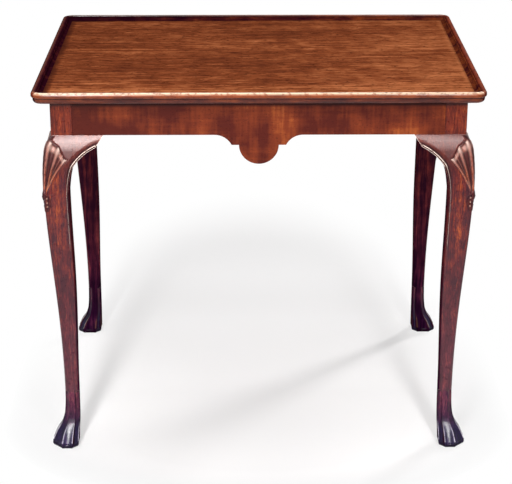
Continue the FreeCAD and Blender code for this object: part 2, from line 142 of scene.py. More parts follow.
def loft_faces(rows: int, columns: int) -> list[tuple[int, ...]]:
    """Faces of a closed skin over a stack of rings, whose points are numbered ring by ring.

    Args:
        rows: number of rings.
        columns: number of points in a ring.

    Returns:
        The four-sided faces from ring to ring, then one over the first ring and one over the last.
    """
    faces: list[tuple[int, ...]] = []
    for low in range(0, (rows - 1) * columns, columns):
        high = low + columns
        for column in range(columns):
            beside = (column + 1) % columns
            faces.append((low + column, low + beside, high + beside, high + column))
    faces.append(tuple(reversed(range(columns))))
    faces.append(tuple(range((rows - 1) * columns, rows * columns)))
    return faces


def make_piece(
    name: str,
    points: np.ndarray,
    faces: Sequence[Sequence[int]],
    sharp: float = 40.0,
    values: Mapping[str, np.ndarray] | None = None,
    flip: bool = False,
) -> bpy.types.Object:
    """Make an object from points in millimetres.

    Args:
        name: the piece's name.
        points: one row of three numbers for each point.
        faces: point numbers of each face.
        sharp: edges that turn more than this many degrees stay crisp.
        values: a number for each point, by the name that materials read it under.
        flip: whether to turn every face over, as a mirrored piece needs.

    Returns:
        The object, linked into the scene at the origin.
    """
    rows = [tuple(reversed(face)) for face in faces] if flip else list(faces)
    mesh = bpy.data.meshes.new(name)
    mesh.from_pydata((points * MM).tolist(), [], rows)
    mesh.validate()
    for label, numbers in (values or {}).items():
        layer = mesh.attributes.new(label, "FLOAT", "POINT")
        layer.data.foreach_set("value", np.asarray(numbers, np.float32))
    mesh.shade_smooth()
    mesh.set_sharp_from_angle(angle=math.radians(sharp))
    piece = bpy.data.objects.new(name, mesh)
    bpy.context.scene.collection.objects.link(piece)
    return piece


def settle(
    piece: bpy.types.Object, materials: Sequence[bpy.types.Material], slot: str, *nodes: str
) -> None:
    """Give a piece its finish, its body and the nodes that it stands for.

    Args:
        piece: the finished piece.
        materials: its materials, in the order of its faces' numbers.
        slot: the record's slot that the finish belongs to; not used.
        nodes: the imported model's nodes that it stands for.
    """
    numbers = [polygon.material_index for polygon in piece.data.polygons]
    piece.data.materials.clear()
    for material in materials:
        piece.data.materials.append(material)
    piece.data.polygons.foreach_set("material_index", numbers)
    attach(piece, BODY)
    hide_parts(*nodes)
    LOG.info("%s: %d points", piece.name, len(piece.data.vertices))


# ------------------------------------------------------------------ finishes


def add_node(
    tree: bpy.types.NodeTree,
    kind: str,
    inputs: Mapping[Any, Any] | Sequence[Any] = (),
    **settings: Any,
) -> bpy.types.Node:
    """Add a shader node, set it up and fill its inputs.

    Args:
        tree: the material's nodes.
        kind: the node's type without its ShaderNode prefix.
        inputs: what each input gets, by its name or number or in their own order: a value, a
            socket to link, or a node, whose first output is linked.
        settings: the node's own properties; stops are a colour ramp's (place, hex colour) pairs.

    Returns:
        The node.
    """
    node = tree.nodes.new(f"ShaderNode{kind}")
    for number, (place, colour) in enumerate(settings.pop("stops", ())):
        ramp = node.color_ramp.elements
        element = ramp[number] if number < 2 else ramp.new(place)
        element.position, element.color = place, to_linear(colour)
    for name, setting in settings.items():
        setattr(node, name, setting)
    given = inputs if isinstance(inputs, Mapping) else dict(enumerate(inputs))
    for key, source in given.items():
        value = source.outputs[0] if isinstance(source, bpy.types.Node) else source
        if isinstance(value, bpy.types.NodeSocket):
            tree.links.new(value, node.inputs[key])
        else:
            node.inputs[key].default_value = value
    return node


def start_material(name: str) -> tuple[bpy.types.Material, NodeAdder]:
    """Make a material that has no nodes yet.

    Args:
        name: the real material and finish that it stands for.

    Returns:
        The material and the call that adds a node to it.
    """
    material = bpy.data.materials.new(name)
    material.use_nodes = True
    material.node_tree.nodes.clear()
    return material, partial(add_node, material.node_tree)


class Grain(Enum):
    """Which way the board was sawn: the axis that its fibres follow."""

    ALONG = "XYZ"
    THROUGH = "YXZ"
    UPRIGHT = "ZXY"


@dataclass(frozen=True)
class Mahogany:
    """Old mahogany, planed, stained by age and French polished, then waxed for years.

    The streaks are its fibres, the short dark flecks its open pores, the broad patches the
    wandering figure, and the dark hollows old polish and dust that never wore away together with
    painted shade. The pale ridges and beads are wear with painted highlights on them. A pair of
    sizes is one mark's length along the fibres and its width across them. A stain goes from one
    height to another, in metres, and has its own pale, body and dark colours.
    """

    name: str
    grain: Grain
    pale: str
    body: str
    dark: str
    pore: str
    figure_mm: Pair = (170.0, 30.0)
    ribbon_mm: Pair = (90.0, 6.0)
    fibre_mm: Pair = (22.0, 1.1)
    mottle_mm: float = 26.0
    shares: tuple[float, float, float, float] = (0.36, 0.26, 0.16, 0.22)
    wander_mm: float = 200.0
    drift_mm: float = 12.0
    pore_mm: Pair = (6.0, 0.8)
    pore_share: float = 0.6
    pore_range: Pair = (0.60, 0.70)
    pore_depth: float = 0.3
    wave_mm: Pair = (50.0, 18.0)
    wave_height_mm: float = 0.6
    patch_mm: float = 7.0
    patch_range: Pair = (0.3, 0.7)
    contrast: float = 0.12
    wear_and_glint: str = "c08a5e"
    wear_and_glint_share: float = 0.4
    wear_and_glint_range: Pair = (0.34, 0.42)
    stains: tuple[tuple[float, float, str, str, str], ...] = ()
    ends: Pair = (0.0, 0.0)
    ends_at: Pair = (-0.3, 0.2)
    shaded_above: float = 0.0
    shade_band: float = 0.005
    sheen_tint: str = "ffffff"
    roughness: float = 0.30
    gloss: float = 0.5
    specular: float = 0.5

    def build(self) -> bpy.types.Material:
        """Make the material.

        Returns:
            A procedural material that follows the board's own fibres.
        """
        material, add = start_material(self.name)
        place = add("TexCoord").outputs["Object"]
        split = add("SeparateXYZ", (place,)).outputs
        along, side, depth = (split[axis] for axis in self.grain.value)
        wander = add("TexNoise", {"Vector": place, "Scale": 1 / (self.wander_mm * MM), "Detail": 2.0})
        drift = add("MapRange", (wander, 0.0, 1.0, -self.drift_mm * MM, self.drift_mm * MM))
        fibres = add("CombineXYZ", (along, add("Math", (side, drift), operation="ADD"), depth))

        tone = self.tone(add, place, fibres, split["X"])
        wood = add("ValToRGB", (tone,), stops=self.stops(self.pale, self.body, self.dark))
        for start, end, *colours in self.stains:
            stained = add("ValToRGB", (tone,), stops=self.stops(*colours))
            share = add("MapRange", (split["Z"], start, end, 0.0, 1.0))
            wood = add("Mix", {0: share, 6: wood, 7: stained}, data_type="RGBA").outputs[2]

        # Two masks: wear with painted highlights, and dirt with painted shade in hollows and grooves.
        relief, dirt_and_shade = (add("Attribute", attribute_name=name).outputs["Fac"] for name in (WEAR_AND_GLINT, DIRT_AND_SHADE))
        patches = self.pattern(add, place, (self.patch_mm, self.patch_mm), 3.0)
        pores = self.pattern(add, fibres, self.pore_mm, 1.0)
        flecks = add("MapRange", (pores, *self.pore_range, 0.0, self.pore_share))
        ragged = add("MapRange", (patches, *self.patch_range, 0.75, 1.25))
        grime_and_shade = add("Math", (dirt_and_shade, ragged), operation="MULTIPLY", use_clamp=True)
        spots = add("MapRange", (patches, *self.wear_and_glint_range, 0.35 * self.wear_and_glint_share, self.wear_and_glint_share))
        rubbed_and_glint = add("Math", (relief, spots), operation="MULTIPLY", use_clamp=True)
        # Pores, dirt with painted shade, and pale wear with painted highlights are laid over the wood.
        covers = [(flecks, self.pore), (grime_and_shade, self.pore), (rubbed_and_glint, self.wear_and_glint)]
        # Painted shade: a dark band just below the shaded_above height.
        if self.shaded_above:
            band = (self.shaded_above - self.shade_band, self.shaded_above)
            covers.append((add("MapRange", (split["Z"], *band, 0.0, 0.95)), self.pore))
        for share, colour in covers:
            wood = add("Mix", {0: share, 6: wood, 7: to_linear(colour)}, data_type="RGBA").outputs[2]

        waves = self.pattern(add, fibres, self.wave_mm, 2.0)
        height = add("Math", (flecks, -self.pore_depth, waves), operation="MULTIPLY_ADD")
        surface = add("Bump", {"Height": height, "Strength": 0.3, "Distance": self.wave_height_mm * MM})
        uneven = (self.roughness - 0.05, self.roughness + 0.09)
        dull = add("MapRange", (patches, *self.patch_range, *uneven))
        dull = add("Math", (grime_and_shade, 0.4, dull), operation="MULTIPLY_ADD")
        coat: Any = 0.0
        if self.gloss:
            clean = add("Math", (grime_and_shade, -self.gloss, self.gloss), operation="MULTIPLY_ADD")
            coat = add("Math", (relief, 0.8 - 0.8 * self.gloss, clean), operation="MULTIPLY_ADD")
        inputs = {
            "Base Color": wood,
            "Roughness": dull,
            "IOR": 1.5,
            "Specular IOR Level": self.specular,
            "Specular Tint": to_linear(self.sheen_tint),
            "Coat Weight": coat,
            "Coat Roughness": 0.14,
            "Normal": surface,
        }
        add("OutputMaterial", (add("BsdfPrincipled", inputs),))
        return material

    def tone(self, add: NodeAdder, place: Any, fibres: Any, along_x: Any) -> bpy.types.Node:
        """Work out how pale the wood is at each place, about a half on the whole.

        Args:
            add: adds a node to the material.
            place: position on the table.
            fibres: the same position, with the fibres along its first axis.
            along_x: place along the table's length, for wood that differs from end to end.

        Returns:
            The node that holds the tone.
        """
        sizes = ((self.figure_mm, 3.0), (self.ribbon_mm, 2.0), (self.fibre_mm, 3.0))
        layers = [self.pattern(add, fibres, size, detail) for size, detail in sizes]
        layers.append(self.pattern(add, place, (self.mottle_mm, self.mottle_mm), 4.0))
        tone: Any = 0.0
        for share, layer in zip(self.shares, layers):
            tone = add("Math", (layer, share, tone), operation="MULTIPLY_ADD")
        # Tone shift of each piece: wear and stain, together with painted light and shade.
        tone_and_painted_light = add("Attribute", attribute_name=TONE_AND_PAINTED_LIGHT).outputs["Fac"]
        tone = add("Math", (tone_and_painted_light, self.contrast, tone), operation="MULTIPLY_ADD")
        if any(self.ends):
            ends = (end * self.contrast for end in self.ends)
            change = add("MapRange", (along_x, *self.ends_at, *ends))
            tone = add("Math", (tone, change), operation="ADD")
        return tone

    def stops(self, pale: str, body: str, dark: str) -> tuple[tuple[float, str], ...]:
        """Stops of a ramp from the dark streaks through the wood's body to the pale streaks."""
        return (0.5 - self.contrast, dark), (0.5 + self.contrast, pale), (0.5, body)

    def pattern(
        self, add: NodeAdder, fibres: Any, size_mm: Pair, detail: float
    ) -> bpy.types.Node:
        """Streaky noise with a real size along and across the fibres.

        Args:
            add: adds a node to the material.
            fibres: position with the fibres along its first axis.
            size_mm: length and width of one mark.
            detail: how many finer octaves it has.

        Returns:
            The noise.
        """
        long, wide = (1 / (size * MM) for size in size_mm)
        scaled = add("VectorMath", (fibres, (long, wide, wide)), operation="MULTIPLY")
        return add("TexNoise", {"Vector": scaled, "Scale": 1.0, "Detail": detail})


FIELD = Mahogany(
    # Matt wax over a sun-faded board: a warm golden brown with long fibres and open pores,
    # which are drawn a few times coarser than they are, so that they show.
    "FadedMahogany", Grain.ALONG, pale="a8643e", body="72391f", dark="482115", pore="260e0a",
    figure_mm=(300.0, 60.0), ribbon_mm=(150.0, 3.4), fibre_mm=(20.0, 2.6), mottle_mm=42.0,
    shares=(0.18, 0.32, 0.32, 0.18), pore_mm=(8.0, 3.0), pore_share=0.65, pore_range=(0.59, 0.70),
    specular=0.0, gloss=0.0, roughness=0.45, contrast=0.125,
)
MOULDING = Mahogany(
    # The same board where hands have polished the rim: darker, redder and glossy.
    # Its bead's pale top is wear with a painted highlight.
    "HandledMahogany", Grain.ALONG, pale="8c4220", body="5c2416", dark="320e0e", pore="1a0608",
    figure_mm=(60.0, 20.0), wear_and_glint="ffdeba", wear_and_glint_share=1.0, wear_and_glint_range=(0.39, 0.50),
    gloss=0.3, specular=0.2,
)
MOULDING_ACROSS = Mahogany(
    # At the ends the rim cuts across the fibres, which drink more polish and stay dull.
    "HandledMahoganyAcross", Grain.THROUGH, pale="74301e", body="4a1819", dark="2c0614",
    pore="180409", figure_mm=(60.0, 20.0), wear_and_glint="a46c54", wear_and_glint_share=0.6, gloss=0.0, specular=0.0,
)
COVE = Mahogany(
    # Old polish and dust in the cove and quirk, with painted shade: a dull red-brown, nearly black in
    # places.
    "ShadedSoiledMahogany", Grain.ALONG, pale="8c4222", body="501c1a", dark="280614", pore="140408",
    figure_mm=(60.0, 20.0), gloss=0.0, specular=0.0, roughness=0.5,
)
APRON = Mahogany(
    # Fibres run along the aprons and a cross figure stands upright in soft orange and red bars.
    # Painted shade: a dark band along the upper edge stands for the top's overhang.
    "FiguredMahogany", Grain.ALONG, pale="b05c2c", body="76321a", dark="4e1a12", pore="240809",
    figure_mm=(55.0, 260.0), ribbon_mm=(80.0, 5.0), fibre_mm=(5.0, 50.0), mottle_mm=60.0,
    shares=(0.42, 0.08, 0.12, 0.38), pore_mm=(4.0, 1.8), pore_share=0.4, contrast=0.108,
    specular=0.12, gloss=0.0, roughness=0.36, shaded_above=0.664, ends=(-0.85, 0.1),
)
APRON_SIDE = replace(
    APRON, name="FiguredMahoganySide", grain=Grain.THROUGH,
    pale="96481f", body="6e2c18", dark="461612", specular=0.2, ends=(0.0, 0.0),
)
LEG = Mahogany(
    # Upright fibres, orange where the knee is rubbed, purple-brown below, dark at the ankle.
    # The post above the knee has the apron's colour and the same painted shade under the top.
    # The near-white wear colour is partly a painted highlight on beads and rib tops. Amber shellac
    # warms what it mirrors.
    "CarvedMahogany", Grain.UPRIGHT, pale="a24a1e", body="641e1a", dark="30081a", pore="16040e",
    figure_mm=(90.0, 10.0), ribbon_mm=(70.0, 3.0), fibre_mm=(12.0, 2.0), mottle_mm=20.0,
    shares=(0.22, 0.26, 0.30, 0.22), wear_and_glint="ffe8da", wear_and_glint_share=1.0, contrast=0.105,
    stains=(
        (0.535, 0.56, "964a3a", "622820", "4c1c1c"),
        (0.604, 0.611, "a04a20", "762a18", "4c1612"),
        (0.46, 0.20, "743030", "461626", "2a0c1c"),
        (0.125, 0.055, "42203e", "1c0c30", "0a0218"),
    ),
    specular=0.34, sheen_tint="ffb8a8", gloss=0.42, shaded_above=0.664,
    pore_range=(0.57, 0.66), pore_depth=0.06,
)
FOOT = replace(
    # Feet blackened by wet floors and waxed over since: nearly black, with sharp glints; the pale toe
    # edges are painted highlights.
    LEG, name="BlackenedMahogany", pale="8e424c", body="5c2236", dark="300c26", pore="0c0414",
    wear_and_glint="e6dcf0", stains=((0.09, 0.035, "3a1c44", "180a34", "08021c"),),
    specular=0.05, sheen_tint="ffffff", shaded_above=0.0,
)
LEG_INSIDE = Mahogany(
    # Inner faces never saw the polishing cloth: dusty and nearly matt, and painted darker as shade.
    "UnpolishedShadedMahogany", Grain.UPRIGHT, pale="883c2e", body="582224", dark="2a0e1c",
    pore="140410", figure_mm=(140.0, 9.0), ribbon_mm=(90.0, 4.0),
    stains=((0.38, 0.06, "5a2638", "2c0c28", "120314"),),
    gloss=0.0, specular=0.0, roughness=0.5, contrast=0.11,
)


@dataclass(frozen=True)
class Pine:
    """Unpolished softwood of the hidden blocks: pale, dry and streaked by its growth rings."""

    name: str = "RoughPine"
    pale: str = "b08a5c"
    dark: str = "7d5a36"
    ring_mm: float = 7.0
    saw_mm: float = 1.43

    def build(self) -> bpy.types.Material:
        """Make the material.

        Returns:
            A dull procedural softwood.
        """
        material, add = start_material(self.name)
        place = add("TexCoord").outputs["Object"]
        # A wave texture of scale 1 repeats every 2 pi / 20 of a metre.
        scale = math.pi / 10 / (self.ring_mm * MM)
        waves = {"Vector": place, "Scale": scale, "Distortion": 3.0, "Detail": 3.0, "Detail Scale": 2.0}
        rings = add("TexWave", waves, bands_direction="Z").outputs[1]
        wood = add("ValToRGB", (rings,), stops=((0.2, self.pale), (0.9, self.dark)))
        saw = add("TexNoise", {"Vector": place, "Scale": 1 / (self.saw_mm * MM), "Detail": 2.0})
        surface = add("Bump", {"Height": saw, "Strength": 0.4, "Distance": 0.3 * MM})
        shader = add("BsdfPrincipled", {"Base Color": wood, "Roughness": 0.75, "Normal": surface})
        add("OutputMaterial", (shader,))
        return material


# ------------------------------------------------------------------ tray top


@dataclass
class TrayTop:
    """Dished top: a field inside a cove, quirk and half-round bead, with an ovolo below."""

    length: float = 790.0
    width: float = 592.0
    top: float = 692.0
    thickness: float = 20.0
    corner: float = 20.0
    bead_height: float = 9.5
    bead_width: float = 9.0
    bead_step: float = 3.0
    bead_outer: float = 4.5
    bead_under: float = 2.5
    bead_inner: float = 1.5
    quirk_width: float = 2.5
    quirk_depth: float = 2.0
    dish_depth: float = 9.5
    cove: float = 6.5
    ovolo: float = 7.0
    tightest: float = 2.0
    cove_lip: float = 0.5
    # Distances below the bead where the painted shade line under it, with its dirt, begins, darkens and
    # ends.
    seam: Triple = (1.6, 0.9, 0.1)
    under_inset: float = 70.0
    corner_points: int = 15
    side_points: int = 41
    wear_depth: float = 0.05
    wear_waves: tuple[Pair, ...] = ((0.83, 0.0), (0.31, 2.0), (1.71, 1.0))
    field_rings: tuple[float, ...] = (30.0, 42.0, 60.0, 85.0, 115.0, 150.0, 190.0, 235.0, 280.0)

    def profile(self) -> tuple[np.ndarray, np.ndarray]:
        """Section of the rim from the underside round to the field.

        Returns:
            Rows of (distance in from the edge, height below the top), and how much dust and painted
            shade each takes.
        """
        foot, bench = -self.bead_height, -self.quirk_depth
        inner = self.bead_width + self.quirk_width
        step, under, outer = self.bead_step, self.bead_under, self.bead_outer
        inside, lip, dish = self.bead_inner, self.cove_lip, -self.dish_depth
        begins, darkens, ends = (foot - below for below in self.seam)
        # Each part's share of dirt and painted shade, darkest in the quirk and under the bead.
        parts: list[tuple[Any, float]] = [
            ([[self.under_inset, -self.thickness]], 0.3),
            (arc((step + self.ovolo, self.ovolo - self.thickness), self.ovolo, 270, 180, 9), 0.25),
            ([[step, begins]], 0.35),
            ([[step, darkens], [step, ends]], 0.95),
            (arc((under, foot + under), under, 265, 180, 6), 0.25),
            (arc((outer, -outer), outer, 180, 90, 9), 0.0),
            (arc((self.bead_width - inside, -inside), inside, 90, 0, 5), 0.05),
            ([[self.bead_width + 0.1, bench]], 0.8),
            (arc((inner + lip, bench - lip), lip, 90, 180, 4), 0.3),
            (arc((inner + self.cove, self.cove + dish), self.cove, 180, 270, 10), 0.45),
            ([[inner + self.cove + 4.0, dish]], 0.12),
            *(([[inset, dish]], 0.0) for inset in self.field_rings),
        ]
        dirt_and_shade = np.concatenate([np.full(len(rows), share) for rows, share in parts])
        return np.vstack([rows for rows, _ in parts]), dirt_and_shade

    def loop(self, inset: float) -> np.ndarray:
        """Outline of the top, moved in, with fine steps for hand-worn edges.

        Args:
            inset: how far in from the top's edge.

        Returns:
            One row of X and Y for each point, anticlockwise from the front right corner.
        """
        x, y = self.length / 2 - inset, self.width / 2 - inset
        turn = max(self.corner - inset, self.tightest)
        right, back = x - turn, y - turn
        corners = [(right, -back, 270), (right, back, 0), (-right, back, 90), (-right, -back, 180)]
        share = np.linspace(0, 1, self.side_points)[1:-1, None]
        rows = []
        for number, (cx, cy, start) in enumerate(corners):
            rows.append(arc((cx, cy), turn, start, start + 90, self.corner_points))
            nx, ny, angle = corners[(number + 1) % 4]
            end = arc((nx, ny), turn, angle, angle, 1)[0]
            rows.append(rows[-1][-1] * (1 - share) + end * share)
        return np.vstack(rows)

    def build(self) -> bpy.types.Object:
        """Sweep the rim's section round the top and close it with the field and underside.

        Returns:
            The top, its faces numbered for four finishes: long sides, short sides, cove, field.
        """
        profile, dirt_and_shade = self.profile()
        loops = [self.loop(inset) for inset, _ in profile]
        rows, columns = len(loops), len(loops[0])
        around = np.arange(columns)
        wear = sum(np.sin(around * rate + shift) for rate, shift in self.wear_waves)
        wear = np.clip(self.wear_depth * wear, 0, None)
        rings = []
        for (_, height), loop in zip(profile, loops):
            rings.append(np.column_stack([loop, self.top + height - wear * rise(height, -4.0, -1.0)]))
        points = np.vstack(rings)
        inset, below = np.repeat(profile, columns, axis=0).T

        toward_x, toward_y = points[:, 0] / (self.length / 2), points[:, 1] / (self.width / 2)
        front = rise(-toward_y, 0.93, 0.96)
        # The bead's pale top is wear with a painted highlight, strongest at the front.
        bead_wear_and_glint = bump(inset - self.bead_width / 2 + 0.6, 2.6) * (below > -3.0) * (0.35 + 0.65 * front)
        # Painted light: the front rim is paler above the bead's foot, and the right rim paler than the
        # left.
        lit = np.where(below > 1 - self.bead_height, 0.9, 0.1)
        rim_light_and_wear = lit * front + 0.9 * np.minimum(toward_x, 0.7) * (1 - front) - 0.1
        # Painted light: the field is paler towards the right, along the front and at the front left
        # corner.
        painted_field_light = 0.38 * rise(toward_x, -0.1, 0.8) + 0.6 * rise(-toward_y, 0.55, 0.95) - 0.25
        painted_field_light = painted_field_light + 0.3 * rise(-toward_x, 0.4, 0.8) * rise(-toward_y, 0.4, 0.8)
        tone_and_painted_light = np.where(inset < self.field_rings[0] - 1, rim_light_and_wear, painted_field_light)
        values = {DIRT_AND_SHADE: np.repeat(dirt_and_shade, columns), WEAR_AND_GLINT: bead_wear_and_glint, TONE_AND_PAINTED_LIGHT: tone_and_painted_light}
        piece = make_piece("moulded_tray_top", points, loft_faces(rows, columns), 30.0, values)

        field_edge = self.bead_width + self.quirk_width + self.cove - 0.1
        for number, polygon in enumerate(piece.data.polygons):
            row = min(number // columns, rows - 1)
            inside = profile[row][0] if row > rows // 2 else 0.0
            x, y, _ = polygon.center
            across = self.length / 2 - abs(x) / MM < self.width / 2 - abs(y) / MM
            part = 3 if inside > field_edge else 2 if inside > self.bead_width else int(across)
            polygon.material_index = part
        return piece

    def dress(self) -> None:
        """Polish the rim along each side's own fibres and wax the field."""
        piece = self.build()
        finishes = [look.build() for look in (MOULDING, MOULDING_ACROSS, COVE, FIELD)]
        settle(piece, finishes, "mahogany_top", "tray_top")


# ------------------------------------------------------------------ legs


class Corner(Enum):
    """The four corners: sign along X, sign along Y, and the leg's node."""

    FRONT_LEFT = (-1, -1, "leg_front_left")
    FRONT_RIGHT = (1, -1, "leg_front_right")
    BACK_LEFT = (-1, 1, "leg_back_left")
    BACK_RIGHT = (1, 1, "leg_back_right")

    def place(self, inward: np.ndarray, origin: Pair) -> np.ndarray:
        """Put points measured inward from the post's outer faces at this corner.

        Args:
            inward: rows of (in from the end face, in from the long face, height).
            origin: half length and half width of the frame.

        Returns:
            The same points in the part's frame.
        """
        x = self.value[0] * (origin[0] - inward[:, 0])
        y = self.value[1] * (origin[1] - inward[:, 1])
        return np.column_stack([x, y, inward[:, 2]])

    @property
    def mirrored(self) -> bool:
        """Whether this corner turns the front left one's faces over."""
        return self.value[0] * self.value[1] < 0


@dataclass
class Knee:
    """Falling face that the leg's knee and its brackets share: a round crown, then a long sweep."""

    apron: float = 608.5
    projection: float = 15.5
    fall: float = 78.5
    top_lean: float = math.radians(41.5)
    belly_lean: float = math.radians(7.4)

    def radii(self) -> Pair:
        """Work out the two radii from the knee's reach, its fall and how it leans.

        Returns:
            Radii of the crown and the sweep below it, which meet in a smooth line.
        """
        crown_out = math.cos(self.belly_lean) - math.cos(self.top_lean)
        crown_down = math.sin(self.top_lean) - math.sin(self.belly_lean)
        sweep_out, sweep_down = 1 - math.cos(self.belly_lean), math.sin(self.belly_lean)
        share = crown_out * sweep_down - sweep_out * crown_down
        crown = (self.projection * sweep_down - self.fall * sweep_out) / share
        return crown, (self.fall * crown_out - self.projection * crown_down) / share

    def out(self, height: np.ndarray) -> np.ndarray:
        """How far the face stands beyond the post.

        Args:
            height: heights above the floor.

        Returns:
            The reach at each height.
        """
        crown, sweep = self.radii()
        down = np.clip(self.apron - height, 0.0, self.fall)
        lean_out, lean_down = crown * math.cos(self.top_lean), crown * math.sin(self.top_lean)
        top = np.sqrt(np.clip(crown**2 - (down - lean_down) ** 2, 0.0, None)) - lean_out
        long = self.projection - sweep + np.sqrt(sweep**2 - (self.fall - down) ** 2)
        return np.where(down < lean_down - crown * math.sin(self.belly_lean), top, long)


@dataclass
class ArrisBead:
    """Double bead, a thin one on the arris and a thick one inside it, over a sunk ground."""

    thin: float = 1.4
    thin_height: float = 0.9
    groove: float = 2.1
    groove_width: float = 0.6
    groove_depth: float = 0.9
    thick: float = 2.5
    thick_start: float = 2.7
    thick_height: float = 1.5
    sunk_depth: float = 1.4
    sunk_width: float = 9.0
    stop: float = 352.0
    stop_length: float = 14.0
    full_zone: Pair = (490.0, 550.0)

    def relief(self, inward: np.ndarray, height: np.ndarray) -> np.ndarray:
        """Height of the bead above the face.

        Args:
            inward: distance from the edge.
            height: height above the floor.

        Returns:
            Relief in millimetres, below zero where the ground is sunk beside the bead.
        """
        upper = rise(height, *self.full_zone)
        scale = 0.66 + 0.34 * upper
        present = rise(height, self.stop, self.stop + self.stop_length)
        across = inward / scale
        thin = self.thin_height * np.sin(np.pi * np.clip(across / self.thin, 0, 1))
        over_thick = np.clip((across - self.thick_start) / self.thick, 0, 1)
        thick = self.thick_height * np.sin(np.pi * over_thick) ** 0.8
        groove = self.groove_depth * bump(across - self.groove, self.groove_width)
        beyond = across - self.thick_start - self.thick / 2
        ground = self.sunk_depth * np.clip(1 - beyond / self.sunk_width, 0, 1) ** 2 * ease(beyond / 1.2)
        return (thin + thick - groove - ground * (0.2 + 0.8 * upper)) * scale * present


